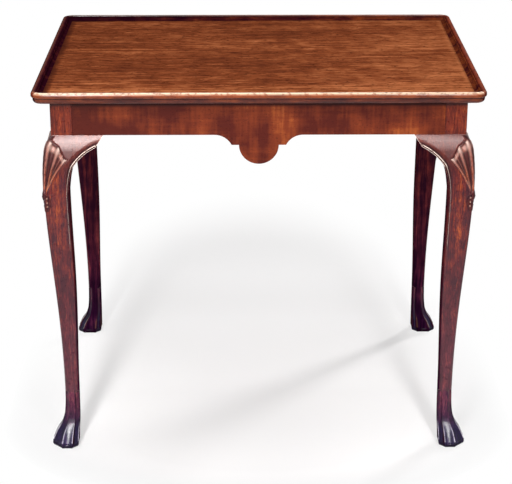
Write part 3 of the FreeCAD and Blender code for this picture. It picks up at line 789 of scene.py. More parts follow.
@dataclass
class Shell:
    """Shell carved over the knee's corner, its knot and the husk that hangs below."""

    root: float = 490.0
    # How far aside each rib ends, how high, and how it bends on the way there.
    ribs: tuple[Triple, ...] = (
        (7.0, 598.0, 1.2), (25.0, 588.0, 1.05), (37.5, 567.0, 1.5),
    )
    # How high each rib stands, as a share of the height below, and how much wider it is.
    rib_sizes: tuple[Pair, ...] = ((0.8, 1.25), (1.0, 1.15), (1.0, 1.0))
    corner_top: float = 602.0
    rib_height: float = 1.7
    rib_width: float = 2.5
    rib_root: float = 1.3
    hollow: float = 2.4
    moat_width: float = 3.6
    moat_depth: float = 1.1
    knot_height: float = 504.0
    husk_height: float = 486.0
    husk_reach: float = 16.0
    husk_width: float = 9.5
    seeds: tuple[float, ...] = (496.5, 488.5, 481.0)
    seed_aside: float = 4.5

    def relief(self, aside: np.ndarray, height: np.ndarray) -> tuple[np.ndarray, ...]:
        """Height of the carving above the knee's plain face, its grime and painted shade, and its pale
        wear and painted highlights.

        Args:
            aside: distance from the knee's corner, along either face.
            height: height above the floor.

        Returns:
            Relief in millimetres, below zero in the hollows; how much grime and painted shade, and how
            much wear and painted highlight each place has.
        """
        above = height - self.root
        up = np.clip(above, 0.001, None)
        lines = [np.zeros_like(up)]
        lines += [reach * (up / (top - self.root)) ** power for reach, top, power in self.ribs]
        reaches = [0.0, *(rib[0] for rib in self.ribs)]
        edge = np.interp(aside, reaches, [self.corner_top, *(rib[1] for rib in self.ribs)])
        depth = edge - height

        # Flutes: hollows between the ribs, the one at the corner shallow.
        flute, width = np.zeros_like(up), np.ones_like(up)
        for number, (near, far) in enumerate(zip(lines, lines[1:])):
            gap = np.clip(far - near, 0.05, None)
            inside = (aside >= near) & (aside < far)
            flute = np.where(inside, number + np.clip((aside - near) / gap, 0, 1), flute)
            width = np.where(inside, gap, width)
        share = flute - np.floor(flute)
        low_end = rise(above, 8, 34)
        scoop = (1 - np.abs(2 * share - 1) ** 3) * np.clip(width * 0.24, 0, self.hollow)
        scoop = scoop * np.where(flute < 1, 0.3, 1.0) * rise(depth, 0.6, 3.0) * low_end
        scoop = scoop * (aside < lines[3])

        # Ribs, with a thin vein down the middle of the last flute.
        rib = np.zeros_like(up)
        spread = self.rib_root + (self.rib_width - self.rib_root) * rise(above, 10, 90)
        for line, (strength, wider) in zip(lines[1:], self.rib_sizes):
            rib = np.maximum(rib, strength * self.rib_height * bump(aside - line, spread * wider))
        middle = (lines[2] + lines[3]) / 2
        rib = np.maximum(rib, 0.9 * bump(aside - middle, 0.9) * rise(above, 40, 56))
        rib *= rise(depth, -0.5, 0.5) * rise(above, -2, 6)

        # Moat: the ground is cut away above the shell, beside it and at the knee's corner.
        past_rib = aside - lines[3] - 1.5
        over = ease(1 + depth / self.moat_width) * (depth < 0) * (aside < reaches[3] + 2)
        beside = ease(1 - past_rib / self.moat_width) * (past_rib > 0) * rise(above, 25, 50)
        corner = rise(aside, 8, 4) * rise(height, self.corner_top - 2, self.corner_top + 1)
        moat = np.maximum(np.maximum(over, 0.7 * beside * (depth > -1)), 1.2 * corner)

        # Knot at the shell's root, and the husk below it with its seeds.
        knot = 2.0 * bump(np.hypot(aside / 6.0, (height - self.knot_height) / 5.5), 1.0)
        down = (height - self.husk_height) / self.husk_reach
        half = self.husk_width * np.sqrt(np.clip(1 - down**2, 0, 1)) * (1 + 0.2 * down)
        leaf = ease((half - aside) / 1.4) * (np.abs(down) < 1)
        vein = bump(aside - half * 0.6, 0.9) * leaf
        seeds = sum(bump(np.hypot(aside - self.seed_aside, height - at), 2.2) for at in self.seeds)
        relief = rib - scoop - self.moat_depth * moat + knot + leaf * 1.1 - vein * 0.9 + 1.1 * seeds

        # Painted shade, with some dirt, beside the ribs, in the hollows, the moat and round the husk;
        # hands wear the ribs' tops pale, and painted highlights sit there, on the hollows' upper lips
        # and on the seeds.
        shade_beside_rib = np.zeros_like(up)
        for line in lines[1:]:
            foot_of_rib = bump(np.abs(aside - line) - 1.7 * spread, 0.7 * spread)
            shade_beside_rib = np.maximum(shade_beside_rib, foot_of_rib)
        shade_beside_rib = shade_beside_rib * low_end * (depth > 0) * rise(aside, lines[3] + 1, lines[3])
        # Painted highlight on the hollows' upper lips.
        lip = bump(depth - 8, 5) * ease(scoop / 1.2)
        dirt_and_shade = np.clip(scoop / self.hollow, 0, 1) * 0.45 * (1 - lip) + 0.75 * moat + 0.8 * vein
        # Painted shade in a dark line round the husk.
        outline = bump(aside - half - 0.8, 1.3) * (np.abs(down) < 1)
        dirt_and_shade = np.maximum(np.maximum(dirt_and_shade, 0.85 * outline), 0.5 * np.maximum(leaf, knot / 2))
        dirt_and_shade = np.maximum(dirt_and_shade, 0.85 * shade_beside_rib)
        crown = np.exp(-np.clip(depth, 0, None) / 7)
        wear_and_glint = ease(rib / self.rib_height) * (0.08 + 0.8 * crown) * rise(above, 16, 28)
        wear_and_glint = wear_and_glint + 0.25 * ease(seeds * 2 - 1) + 0.2 * lip * (1 - wear_and_glint)
        return relief, np.clip(dirt_and_shade * (1 - wear_and_glint), 0, 1), wear_and_glint


@dataclass
class CabrioleLeg:
    """Leg from its square post through the carved knee and bare shaft to the panelled foot."""

    origin: Pair
    underside: float
    knee: Knee = field(default_factory=Knee)
    bead: ArrisBead = field(default_factory=ArrisBead)
    shell: Shell = field(default_factory=Shell)
    post: float = 38.0
    bracket_fall: float = 54.5
    bracket_lean: float = 56.9
    waist_drop: float = 105.0
    knee_inside: float = 27.6
    ankle_height: float = 108.0
    ankle_inset: float = 3.4
    ankle_inside: float = 29.1
    ankle_round: float = 6.5
    ankle_step: float = 1.5
    arch_rise: float = 5.0
    calf_swell: float = 2.8
    foot_projection: float = 22.5
    foot_inside: float = 26.5
    # How far up from the pad to the ankle each station of the flare lies, and its reach there.
    flare_at: tuple[float, ...] = (0.0, 0.18, 0.36, 0.55, 0.77, 1.0)
    flare_reach: tuple[float, ...] = (1.0, 0.70, 0.28, 0.09, 0.02, 0.0)
    pad_height: float = 10.0
    pad_round: float = 7.0
    crease_height: float = 8.5
    panel_hollow: float = 1.0
    face_steps: int = 64
    bead_band: float = 8.0
    back_shade: float = 0.05
    # Heights between which the section, the wear, the painted light and shade or the stain changes from
    # none to full.
    crisp_arris: Pair = (380.0, 440.0)
    bead_glint_heights: Pair = (540.0, 564.0)
    shaded_knee: Pair = (548.0, 570.0)
    pale_calf: Pair = (300.0, 460.0)
    pale_calf_end: Pair = (570.0, 530.0)
    pale_shin: Pair = (340.0, 180.0)
    dull_foot: Pair = (120.0, 70.0)

    def heights(self) -> np.ndarray:
        """Choose the rows of the mesh, closest where the pad turns and the leg is carved.

        Returns:
            Heights above the floor, rising.
        """
        apron = self.knee.apron
        parts = [
            [0.0, 0.15, 0.5, 1.1, 2.0, 3.2, 4.8, 6.0, 7.0, 7.7, 8.2, 8.7, 9.2, 10.0, 11.2, 12.6, 14.0],
            np.arange(15.4, 99.0, 1.5),
            np.arange(99.5, 110.0, 0.5),
            np.arange(112.0, 362.0, 5.0),
            np.arange(363.0, 390.0, 2.0),
            np.arange(392.0, 448.0, 4.0),
            np.arange(449.0, apron - 9.0, 1.1),
            np.arange(apron - 8.0, apron - 0.4, 0.7),
            [apron - 0.3, apron, apron + 0.25, apron + 1.0, self.underside - 0.6, self.underside],
        ]
        return np.unique(np.concatenate([np.asarray(rows, float) for rows in parts]))

    def outlines(self, height: np.ndarray) -> dict[str, np.ndarray]:
        """How far the section reaches at each height, and how its corners are cut.

        Args:
            height: the rows' heights.

        Returns:
            Reach outward and inward, facet at the toe's corner and at the others, and share of
            the foot's panels and of its flare, each by its name.
        """
        apron = self.knee.apron
        foot_of_bracket, waist = apron - self.bracket_fall, apron - self.waist_drop
        way = np.clip((waist - height) / (waist - self.ankle_height), 0, 1)
        shaft_out = (self.knee.projection + self.ankle_inset) * (1 + np.cos(np.pi * way**0.8)) / 2
        shaft_out -= self.ankle_inset
        out = np.where(height >= apron, 0.0, np.where(height > waist, self.knee.out(height), shaft_out))
        shaft_in = self.knee_inside + (self.ankle_inside - self.knee_inside) * way
        shaft_in += self.calf_swell * np.sin(np.pi * way) ** 2
        drop = np.clip((foot_of_bracket - height) / (foot_of_bracket - waist), 0, 1)
        back = follow(drop, (0.0, 0.24, 0.55, 1.0), (0.0, 0.38, 0.72, 1.0))
        inside = np.where(height > waist, self.post + (self.knee_inside - self.post) * back, shaft_in)

        up = (height - self.pad_height) / (self.ankle_height - self.pad_height)
        flare = follow(np.clip(up, 0, 1), self.flare_at, self.flare_reach)
        foot_out = (self.foot_projection + self.ankle_inset) * flare - self.ankle_inset
        foot_in = self.ankle_inside + (self.foot_inside - self.ankle_inside) * flare
        below = height <= self.ankle_height
        out, inside = np.where(below, foot_out, out), np.where(below, foot_in, inside)
        turned = 1 - np.clip(height / self.pad_round, 0, 1)
        under = self.pad_round * 0.8 * (1 - np.sqrt(1 - turned**2))
        out, inside = out - under, inside - under

        panels = ease((self.ankle_height + 1 - height) / 3)
        corner = np.where(height >= apron, 0.7, 2.0 + 0.5 * ease((apron - height) / 105))
        corner = np.where(height < waist, 2.5 + (self.ankle_round - 2.5) * way, corner)
        width = out + inside
        toe = corner * (1 - panels) + width * (0.28 + 0.10 * flare) * panels
        facet = corner * (1 - panels) + width * (0.28 - 0.06 * flare) * panels
        return dict(out=out, inside=inside, toe=toe, facet=facet, panels=panels, flare=flare)

    def half_ring(self) -> tuple[np.ndarray, ...]:
        """Half of every section, from the outer corner past the inner arris to the back one.

        Returns:
            Points, distance from the outer corner, distance from the arris, place across the
            panel that each point lies in, and 1 on a cut corner, all by row and column.
        """
        height = self.heights()
        line = self.outlines(height)
        low, high = -line["out"][:, None], line["inside"][:, None]
        toe, facet, panels = (line[name][:, None] for name in ("toe", "facet", "panels"))
        crisp = rise(height, *self.crisp_arris)[:, None]
        apron, foot_of_bracket = self.knee.apron, self.knee.apron - self.bracket_fall
        joint = ((height > foot_of_bracket) & (height < apron))[:, None]
        tight = np.where(joint, 0.03, facet * (1 - crisp) + np.minimum(facet, 0.9) * crisp)
        near, far = low + toe, high - tight

        def turn(
            centre: tuple[Any, Any], radius: np.ndarray, start: float, share: np.ndarray
        ) -> list[np.ndarray]:
            """Corner of the section: round on the shaft and cut flat on the foot.

            Args:
                centre: where the corner's centre lies in each row.
                radius: its radius in each row.
                start: the angle where it begins, in degrees.
                share: places along it, from 0 to 1.

            Returns:
                The points' first and second coordinates, by row and place.
            """
            first, last = math.radians(start), math.radians(start + 90)
            both = []
            for wave, middle in zip((np.cos, np.sin), centre):
                flat = (1 - share) * wave(first) + share * wave(last)
                curved = wave(first + (last - first) * share)
                both.append(middle + radius * (curved * (1 - panels) + flat * panels))
            return both

        band = np.minimum(self.bead_band, (far - near) * 0.4)
        wide = np.linspace(0, 1, self.face_steps - 23)[None, :]
        narrow = np.linspace(0, 1, 25)[None, 1:]
        along = np.hstack([wide * (far - near - band), (far - near - band) + narrow * band])
        face_x = near + along
        face_share = along / (far - near)
        rest = np.linspace(0, 1, 16)[None, :]
        inner_y = (low + tight) + rest * (high - facet - low - tight)
        ones = np.ones_like(low)

        first, last = np.linspace(0.5, 1, 7)[:-1], np.linspace(0, 0.5, 6)[1:]
        full = np.linspace(0, 1, 9)[1:-1]
        ridge_x, ridge_y = turn((near, near), toe, 180, first)
        arris_x, arris_y = turn((far, low + tight), tight, 270, full)
        back_x, back_y = turn((high - facet, high - facet), facet, 0, last)
        x = np.hstack([ridge_x, face_x, arris_x, high * np.ones_like(rest), back_x])
        y = np.hstack([ridge_y, low * np.ones_like(face_x), arris_y, inner_y, back_y])
        across = np.hstack([ones * first, face_share, ones * full, ones * rest, ones * last])
        widths = (first.size, along.shape[1], full.size, rest.size, last.size)
        cut = ones * np.repeat((1.0, 0.0, 1.0, 0.0, 1.0), widths)
        step = np.hypot(np.diff(x, axis=1), np.diff(y, axis=1))
        aside = np.hstack([np.zeros_like(low), np.cumsum(step, axis=1)])
        slope = np.gradient(line["inside"], height)[:, None]
        cosine = 1 / np.sqrt(1 + slope**2)
        lean = math.radians(self.bracket_lean)
        over, beside = (height - foot_of_bracket)[:, None], high - x
        along_bracket = over * math.sin(lean) - beside * math.cos(lean)
        from_bracket = beside * math.sin(lean) + over * math.cos(lean)
        turning = np.where(along_bracket > 0, from_bracket, np.hypot(over, beside))
        inward = np.where(y <= low + 0.01, np.where(over > 0, turning, beside * cosine), -1.0)
        points = np.stack([x, y, height[:, None] * np.ones_like(x)], axis=2)
        return points, aside, inward, across, cut

    def build(self) -> tuple[np.ndarray, list[tuple[int, ...]], dict[str, np.ndarray], np.ndarray]:
        """Carve the leg: base form, then shell, bead, ankle arches and foot panels.

        Returns:
            Points measured inward from the post, faces, each point's wear and painted highlight, its
            grime and painted shade, and its tone, and whether it lies under an ankle arch.
        """
        points, aside, inward, across, cut = self.half_ring()
        height = points[:, :, 2]
        flare = self.outlines(points[:, 0, 2])["flare"][:, None]
        apron = self.knee.apron

        # Shell and bead, on the show faces below the apron.
        carved = (height < apron - 1) * (points[:, :, 1] < self.post / 2)
        relief, dirt_and_shade, rubbed_and_glint = (layer * carved for layer in self.shell.relief(aside, height))
        edging = self.bead.relief(inward, height) * (inward >= 0) * (height < apron - 2)
        # Painted highlight: the beads' pale tops, brightest near the bracket.
        bright = 0.28 + 0.72 * rise(height, *self.bead_glint_heights)
        crest_wear_and_glint = np.maximum(rubbed_and_glint, rise(edging, 0.2, 0.8) * bright)
        # Painted shade in the bead's groove and sunk ground.
        dirt_and_shade = np.maximum(dirt_and_shade, 0.8 * rise(edging, -0.1, -0.7))

        # Ankle arches, and the foot's hollow panels down to the crease over its pad.
        off_middle, from_edge = (2 * across - 1) ** 2, np.minimum(across, 1 - across)
        arch = self.ankle_height - self.arch_rise * off_middle
        sunk = rise(height, arch, arch - 0.9)
        pad = self.crease_height
        dip = self.panel_hollow * (0.35 + 0.65 * flare) * (1 - off_middle)
        lifted = 1 - 0.6 * rise(height, pad, pad - 2)
        crease = 0.6 * bump(height - pad, 0.8)
        foot = height < self.ankle_height + 0.5
        hollow = self.ankle_step * (1 - flare) * cut + dip * lifted * np.maximum(cut, flare)
        shape = relief + edging - (hollow * sunk + crease) * foot

        # Painted shade and dirt along the panels' borders, the arches and the crease; dirt dulls the
        # foot except the toe;
        # painted highlights on the toe's edges.
        panel_border_shade = bump(from_edge, 0.2) * cut * sunk
        arch_line_shade = bump(height - arch + 0.6, 1.9) * cut
        dirt_and_shade = np.maximum(dirt_and_shade, 0.9 * np.maximum(panel_border_shade * 0.9, arch_line_shade) * foot)
        dirt_and_shade = np.maximum(dirt_and_shade, 0.7 * rise(height, pad + 1, pad - 1))
        unrubbed = rise(height, *self.dull_foot) * (1 - ease(flare * 3 - 0.6) * (1 - cut))
        dirt_and_shade = np.maximum(dirt_and_shade, 0.3 * unrubbed)
        toe_edge_glint = bump(from_edge, 0.07) * (1 - cut) * ease(flare * 2.5 - 0.6)
        crest_wear_and_glint = np.maximum(crest_wear_and_glint, 0.45 * toe_edge_glint * (height > pad + 3))

        # Tone: the post as pale as the apron; painted shade on the knee's top; painted light down the
        # middle of each face from the calf up; the shin paler; the rib tops paler with wear.
        in_post = rise(height, apron, apron + 2)
        seam = bump(self.post - points[:, :, 0], 0.9) * in_post * (inward >= 0)
        dirt_and_shade = np.maximum(dirt_and_shade, 0.9 * seam)
        painted_calf_light = bump(across - 0.45, 0.24) * (inward >= 0) * rise(height, *self.pale_calf)
        painted_calf_light = 0.8 * painted_calf_light * rise(height, *self.pale_calf_end)
        shin = 0.3 * rise(height, *self.pale_shin)
        knee_shade = 0.4 * rise(height, *self.shaded_knee) * (1 - in_post)
        tone_and_painted_light = 0.85 * painted_calf_light - 0.62 + shin + 0.45 * in_post - knee_shade + 2.0 * ease(rubbed_and_glint * 10)

        half = points.shape[1]
        layers = (points, shape, crest_wear_and_glint, dirt_and_shade, tone_and_painted_light, sunk)
        full, lift, wear_and_glint, grime_and_shade, tone, arched = (
            np.concatenate([rows, rows[:, -2:0:-1]], axis=1) for rows in layers
        )
        full[:, half:, :2] = full[:, half:, 1::-1]
        tangent = np.roll(full, -1, axis=1)[:, :, :2] - np.roll(full, 1, axis=1)[:, :, :2]
        length = np.maximum(np.hypot(tangent[:, :, 0], tangent[:, :, 1]), 1e-6)
        normal = np.stack([tangent[:, :, 1] / length, -tangent[:, :, 0] / length], axis=2)
        full[:, :, :2] += normal * lift[:, :, None]
        values = {WEAR_AND_GLINT: np.clip(wear_and_glint, 0, 1).ravel(), DIRT_AND_SHADE: grime_and_shade.ravel(), TONE_AND_PAINTED_LIGHT: tone.ravel()}
        return full.reshape(-1, 3), loft_faces(*full.shape[:2]), values, arched.ravel() > 0.5

    def dress(self, materials: Sequence[bpy.types.Material]) -> None:
        """Make the four legs, each for its own corner.

        Args:
            materials: the finishes of the show faces, the inner faces and the feet.
        """
        inward, faces, values, arched = self.build()
        for corner in Corner:
            node = corner.value[2]
            points = corner.place(inward, self.origin)
            # Painted shade: the back legs' tone is set a little darker.
            shaded = self.back_shade if corner.value[1] > 0 else 0.0
            here = {**values, TONE_AND_PAINTED_LIGHT: values[TONE_AND_PAINTED_LIGHT] - shaded}
            leg = make_piece(f"carved_{node}", points, faces, 50.0, here, corner.mirrored)
            for polygon in leg.data.polygons:
                outward = zip(polygon.normal, corner.value[:2])
                hidden = min(normal * side for normal, side in outward) < -0.75
                under_arch = arched[list(polygon.vertices)].all()
                polygon.material_index = 1 if hidden else 2 if under_arch else 0
            settle(leg, materials, "mahogany_legs", node)


@dataclass
class KneeBracket:
    """Bracket beside the knee: falling face, swept and beaded lower edge, slanted end."""

    origin: Pair
    knee: Knee = field(default_factory=Knee)
    bead: ArrisBead = field(default_factory=ArrisBead)
    post: float = 38.0
    length: float = 54.0
    slant: float = 15.0
    end_height: float = 20.5
    fall: float = 54.5
    sweep: float = 95.0
    thickness: float = 22.0
    undercut: float = 1.5
    fade: float = -0.6

    def lower_edge(self, x: np.ndarray) -> tuple[np.ndarray, np.ndarray]:
        """Lower edge: a hollow sweep, then a slant up to the apron.

        Args:
            x: places along the rail, from the post's outer face.

        Returns:
            The edge's height at each place, and the centre of the sweep.
        """
        start = np.array([self.post, self.knee.apron - self.fall])
        end = np.array([self.post + self.length - self.slant, self.knee.apron - self.end_height])
        chord = end - start
        size = np.hypot(*chord)
        right = np.array([chord[1], -chord[0]]) / size
        centre = (start + end) / 2 + right * math.sqrt(self.sweep**2 - size**2 / 4)
        curve = centre[1] + np.sqrt(np.clip(self.sweep**2 - (x - centre[0]) ** 2, 0, None))
        line = end[1] + (x - end[0]) * self.end_height / self.slant
        return np.where(x <= end[0], curve, line), centre

    def build(self) -> tuple[np.ndarray, list[tuple[int, ...]], dict[str, np.ndarray]]:
        """Loft the bracket along its length.

        Returns:
            Points measured along the rail, in from its face and up; faces; wear with painted
            highlights, grime with painted shade, and tone.
        """
        end = self.post + self.length
        bend = end - self.slant
        swept, slanting = np.linspace(self.post, bend - 0.8, 34), np.linspace(bend + 1, end, 14)
        x = np.concatenate([swept, [bend - 0.2, bend + 0.2], slanting])
        low, centre = self.lower_edge(x)
        low = np.minimum(low, self.knee.apron - 0.05)
        top = 1 - 0.14 * (1 - np.sin(np.radians(np.linspace(0, 90, 10))))
        steps = np.concatenate([np.linspace(0, 0.24, 28), np.linspace(0.24, 0.86, 24)[1:], top[1:]])
        height = low[:, None] + (self.knee.apron - low)[:, None] * steps[None, :]
        along = x[:, None] * np.ones_like(height)
        inward = np.hypot(along - centre[0], height - centre[1]) - self.sweep
        fade = 1 - ease((along - bend + 0.5) / 2.5)
        relief = self.bead.relief(inward, height)
        relief = np.where(relief > 0, relief * fade, relief)
        front = -self.knee.out(height) - relief
        eased = 0.8 * bump(inward, 0.5) * fade
        face = np.stack([along, front + eased, height], axis=2)
        back_height = low[:, None] + (self.knee.apron - low)[:, None] * np.linspace(1, 0, 5)
        back_along = x[:, None] * np.ones_like(back_height)
        back = np.stack([back_along, np.full_like(back_height, self.thickness), back_height], axis=2)
        tuck = np.stack([x, face[:, 0, 1] + self.undercut, low], axis=1)[:, None, :]
        ring = np.concatenate([face, back, tuck], axis=1)
        # Painted highlight along the slanted end's lower edge; painted shade in the bead's groove.
        slanted_end_glint = bump(height - low[:, None], 1.2) * (along > bend)
        lifted = np.where(slanted_end_glint > 0.1, slanted_end_glint, relief * (1 - ease((along - bend) / 12)))
        lift = np.pad(lifted, ((0, 0), (0, ring.shape[1] - lifted.shape[1]))).ravel()
        values = {
            WEAR_AND_GLINT: rise(lift, 0.3, 1.0),
            DIRT_AND_SHADE: 0.95 * rise(lift, -0.1, -0.9),
            TONE_AND_PAINTED_LIGHT: np.full_like(lift, self.fade),
        }
        return ring.reshape(-1, 3), loft_faces(*ring.shape[:2]), values

    def dress(self, material: bpy.types.Material) -> None:
        """Make two brackets at each corner, one along each rail.

        Args:
            material: the finish of the legs' show faces.
        """
        points, faces, values = self.build()
        for corner in Corner:
            end = "front" if corner.value[1] < 0 else "back"
            stem = corner.value[2].replace("leg", "bracket")
            for face, turned in ((end, False), ("side", True)):
                name = f"{stem}_{face}"
                here = corner.place(points[:, [1, 0, 2]] if turned else points, self.origin)
                flip = corner.mirrored != turned
                piece = make_piece(f"carved_{name}", here, faces, 50.0, values, flip)
                settle(piece, [material], "mahogany_legs", name)


# ------------------------------------------------------------------ rails


@dataclass
class Rails:
    """Aprons between the posts; the long ones fall in coves to a round drop."""

    origin: Pair
    apron: float
    underside: float
    post: float = 38.0
    thickness: float = 22.0
    drop_half: float = 78.0
    drop: float = 18.5
    ledge_half: float = 48.0
    lobe: float = 35.0
    joint: float = 0.12
    eased: float = 0.45

    def outline(self) -> np.ndarray:
        """Draw a long rail's outline: straight, with coves that fall to the round drop.

        Returns:
            One row of X and Z for each point, anticlockwise as seen from the front.
        """
        half = self.origin[0] - self.post - self.joint
        run = self.drop_half - self.ledge_half
        cove = (run**2 + self.drop**2) / (2 * self.drop)
        turn = math.degrees(math.asin(run / cove))
        ledge = self.apron - self.drop
        right = arc((self.drop_half, self.apron - cove), cove, 90 + turn, 90, 14)
        lobe = arc((0.0, ledge), self.lobe, 180, 360, 40)
        left = np.column_stack([-right[:, 0], right[:, 1]])[::-1]
        top = [[half, self.apron], [half, self.underside], [-half, self.underside]]
        return np.vstack([[[-half, self.apron]], left, lobe, right, top])

    def board(self, name: str, outline: np.ndarray) -> bpy.types.Object:
        """Board of the rails' thickness with eased edges.

        Args:
            name: the piece's name.
            outline: its outline, anticlockwise as seen from its show face.

        Returns:
            The board, its show face at depth 0 and its back further along +Y.
        """
        count = len(outline)
        front = np.column_stack([outline[:, 0], np.zeros(count), outline[:, 1]])
        back = front + (0.0, self.thickness, 0.0)
        faces = [tuple(range(count)), tuple(range(2 * count - 1, count - 1, -1))]
        faces += [(n, n + count, (n + 1) % count + count, (n + 1) % count) for n in range(count)]
        piece = make_piece(name, np.vstack([front, back]), faces, 30.0)
        easing = piece.modifiers.new("EasedEdges", "BEVEL")
        easing.width, easing.segments, easing.harden_normals = self.eased * MM, 2, True
        easing.angle_limit = math.radians(35)
        return piece

    def dress(self, long: bpy.types.Material, short: bpy.types.Material) -> None:
        """Make the four rails and turn each to its side.

        Args:
            long: finish of the front and back rails.
            short: finish of the side rails.
        """
        half = self.origin[1] - self.post - self.joint
        low, high = self.apron, self.underside
        plain = np.array([[-half, low], [half, low], [half, high], [-half, high]])
        x, y = self.origin
        places = (
            ("front_rail", self.outline(), 0, (0, -y), long),
            ("back_rail", self.outline(), 180, (0, y), long),
            ("left_rail", plain, -90, (-x, 0), short),
            ("right_rail", plain, 90, (x, 0), short),
        )
        for node, outline, turn, at, material in places:
            piece = self.board(f"figured_{node}", outline)
            angle = math.radians(turn)
            cos, sin = round(math.cos(angle)), round(math.sin(angle))
            for vertex in piece.data.vertices:
                along, deep = vertex.co.x, vertex.co.y
                vertex.co.x = cos * along - sin * deep + at[0] * MM
                vertex.co.y = sin * along + cos * deep + at[1] * MM
            settle(piece, [material], "mahogany_rails", node)


# ------------------------------------------------------------------ studio


@dataclass
class Studio:
    """White floor, soft lamps and the camera in front of the table, all in metres."""

    camera_at: Triple = (-0.02562, -3.01029, 1.46800)
    pitch: float = 0.3688
    yaw: float = 0.0075
    lens: float = 115.08
    sensor: float = 36.0
    farthest: float = 60.0
    floor_size: float = 100000.0
    # Away from the table the floor is evenly white; under it the paint shows, with its shadow.
    # Two stretched circles, each a scale and a shift, give the edge behind and in front, and
    # the pairs that follow give where the change begins and ends, as shares of those circles.
    floor_glow: float = 0.45
    floor_grey: float = 0.68
    glow_behind: tuple[Triple, ...] = ((2.75, 1.1, 1.0), (0.0, 0.0, 0.0))
    glow_before: tuple[Triple, ...] = ((2.75, -4.0, 1.0), (0.0, -0.68, 0.0))
    glow_seen: Pair = (0.8, 1.35)
    glow_mirrored: Pair = (0.8, 1.5)
    grey_depth: Pair = (-0.05, 0.32)
    brightest: float = 1.07
    ambient: float = 0.22
    strip_width: float = 0.26
    strip_distance: float = 2.3
    # Each length of a strip lamp: lowest and highest angle above the knee, and its brightness.
    strips: tuple[Triple, ...] = (
        (26.0, 66.0, 1.0), (17.0, 26.0, 0.78), (9.0, 17.0, 0.6), (1.0, 9.0, 0.42), (-8.0, 1.0, 0.2),
    )
    knees: tuple[tuple[str, Triple, float], ...] = (
        ("key", (-0.35, -0.27, 0.58), 45.0), ("fill", (0.35, -0.27, 0.58), 18.0),
    )
    middle: Triple = (0.0, 0.0, 0.6)
    toe: Triple = (0.37, -0.28, 0.03)
    toe_lamp_angles: tuple[float, ...] = (46.0, 33.0, 20.0)
    toe_lamp_turn: float = 8.0
    toe_lamp_distance: float = 1.9
    toe_lamp_size: Pair = (0.2, 0.45)
    toe_lamp_power: float = 0.11

    def build_floor(self) -> None:
        """Pale floor that keeps the table's soft shadow."""
        half = self.floor_size
        corners = np.array([(x * half, y * half, 0.0) for x, y in ((-1, -1), (1, -1), (1, 1), (-1, 1))])
        piece = make_piece("studio_floor", corners, [(0, 1, 2, 3)])
        # Matt white paint: it takes the soft shadow and mirrors nothing.
        material, add = start_material("PaintedFloor")
        path = add("LightPath").outputs
        place = add("TexCoord").outputs["Object"]
        circles = [
            add("VectorMath", (place, *circle), operation="MULTIPLY_ADD")
            for circle in (self.glow_behind, self.glow_before)
        ]
        nearest = add("VectorMath", circles, operation="MAXIMUM")
        away = add("VectorMath", (nearest,), operation="LENGTH").outputs["Value"]
        seen, mirrored = (
            add("MapRange", (away, *edge, self.floor_glow, far), interpolation_type="SMOOTHSTEP")
            for edge, far in ((self.glow_seen, 1.0), (self.glow_mirrored, 0.0))
        )
        deep = add("SeparateXYZ", (place,)).outputs["Y"]
        # Painted light and shade on the floor: the glow is dimmer in front of the table and brightest
        # under it.
        painted_glow_by_depth = add("MapRange", (deep, *self.grey_depth, self.floor_grey, self.brightest))
        bright = add("MapRange", (away, *self.glow_seen, painted_glow_by_depth, 1.0))

        glossy = (path["Is Glossy Ray"], path["Is Transmission Ray"])
        mirror = add("Math", glossy, operation="MAXIMUM")
        direct = add("Math", (path["Is Camera Ray"], seen), operation="MULTIPLY")
        share = add("Math", (mirror, mirrored, direct), operation="MULTIPLY_ADD")
        paint = add("BsdfDiffuse", {"Color": to_linear("f4f2f2")})
        white = add("Emission", {"Color": to_linear("ffffff"), "Strength": bright})
        add("OutputMaterial", (add("MixShader", (share, paint, white)),))
        piece.data.materials.append(material)

    def add_lamp(
        self,
        name: str,
        at: Triple,
        aim: Triple,
        size: Pair,
        power: float,
        spread: float,
    ) -> None:
        """Soft rectangular lamp with a grid that keeps its light on the table.

        Args:
            name: the lamp's name.
            at: where it stands, in metres.
            aim: the point that it faces.
            size: its width and height in metres.
            power: its power in watts.
            spread: how widely it fans out, in degrees.
        """
        lamp = bpy.data.lights.new(name, "AREA")
        lamp.shape, lamp.size, lamp.size_y, lamp.energy = "RECTANGLE", size[0], size[1], power
        lamp.spread = math.radians(spread)
        stand = bpy.data.objects.new(name, lamp)
        bpy.context.scene.collection.objects.link(stand)
        stand.location = at
        x, y, z = (start - end for start, end in zip(at, aim))
        stand.rotation_euler = (math.atan2(math.hypot(x, y), z), 0.0, math.atan2(x, -y))

    def add_strips(self, name: str, knee: Triple, brightness: float) -> None:
        """Tall lamp where a knee mirrors it, in lengths that grow dimmer downwards.

        Args:
            name: the lamp's name.
            knee: the point that it faces.
            brightness: watts for each square metre of its brightest length.
        """
        x, y = knee[0] - self.camera_at[0], self.camera_at[1] - knee[1]
        x, y = x / math.hypot(x, y), y / math.hypot(x, y)
        for number, (low, high, share) in enumerate(self.strips):
            middle, half = math.radians((low + high) / 2), math.radians((high - low) / 2)
            reach = self.strip_distance * math.cos(middle)
            up = self.strip_distance * math.sin(middle)
            at = (knee[0] + x * reach, knee[1] + y * reach, knee[2] + up)
            size = (self.strip_width, 2 * self.strip_distance * math.tan(half))
            power = share * brightness * size[0] * size[1]
            self.add_lamp(f"{name}_{number}", at, knee, size, power, 120.0)

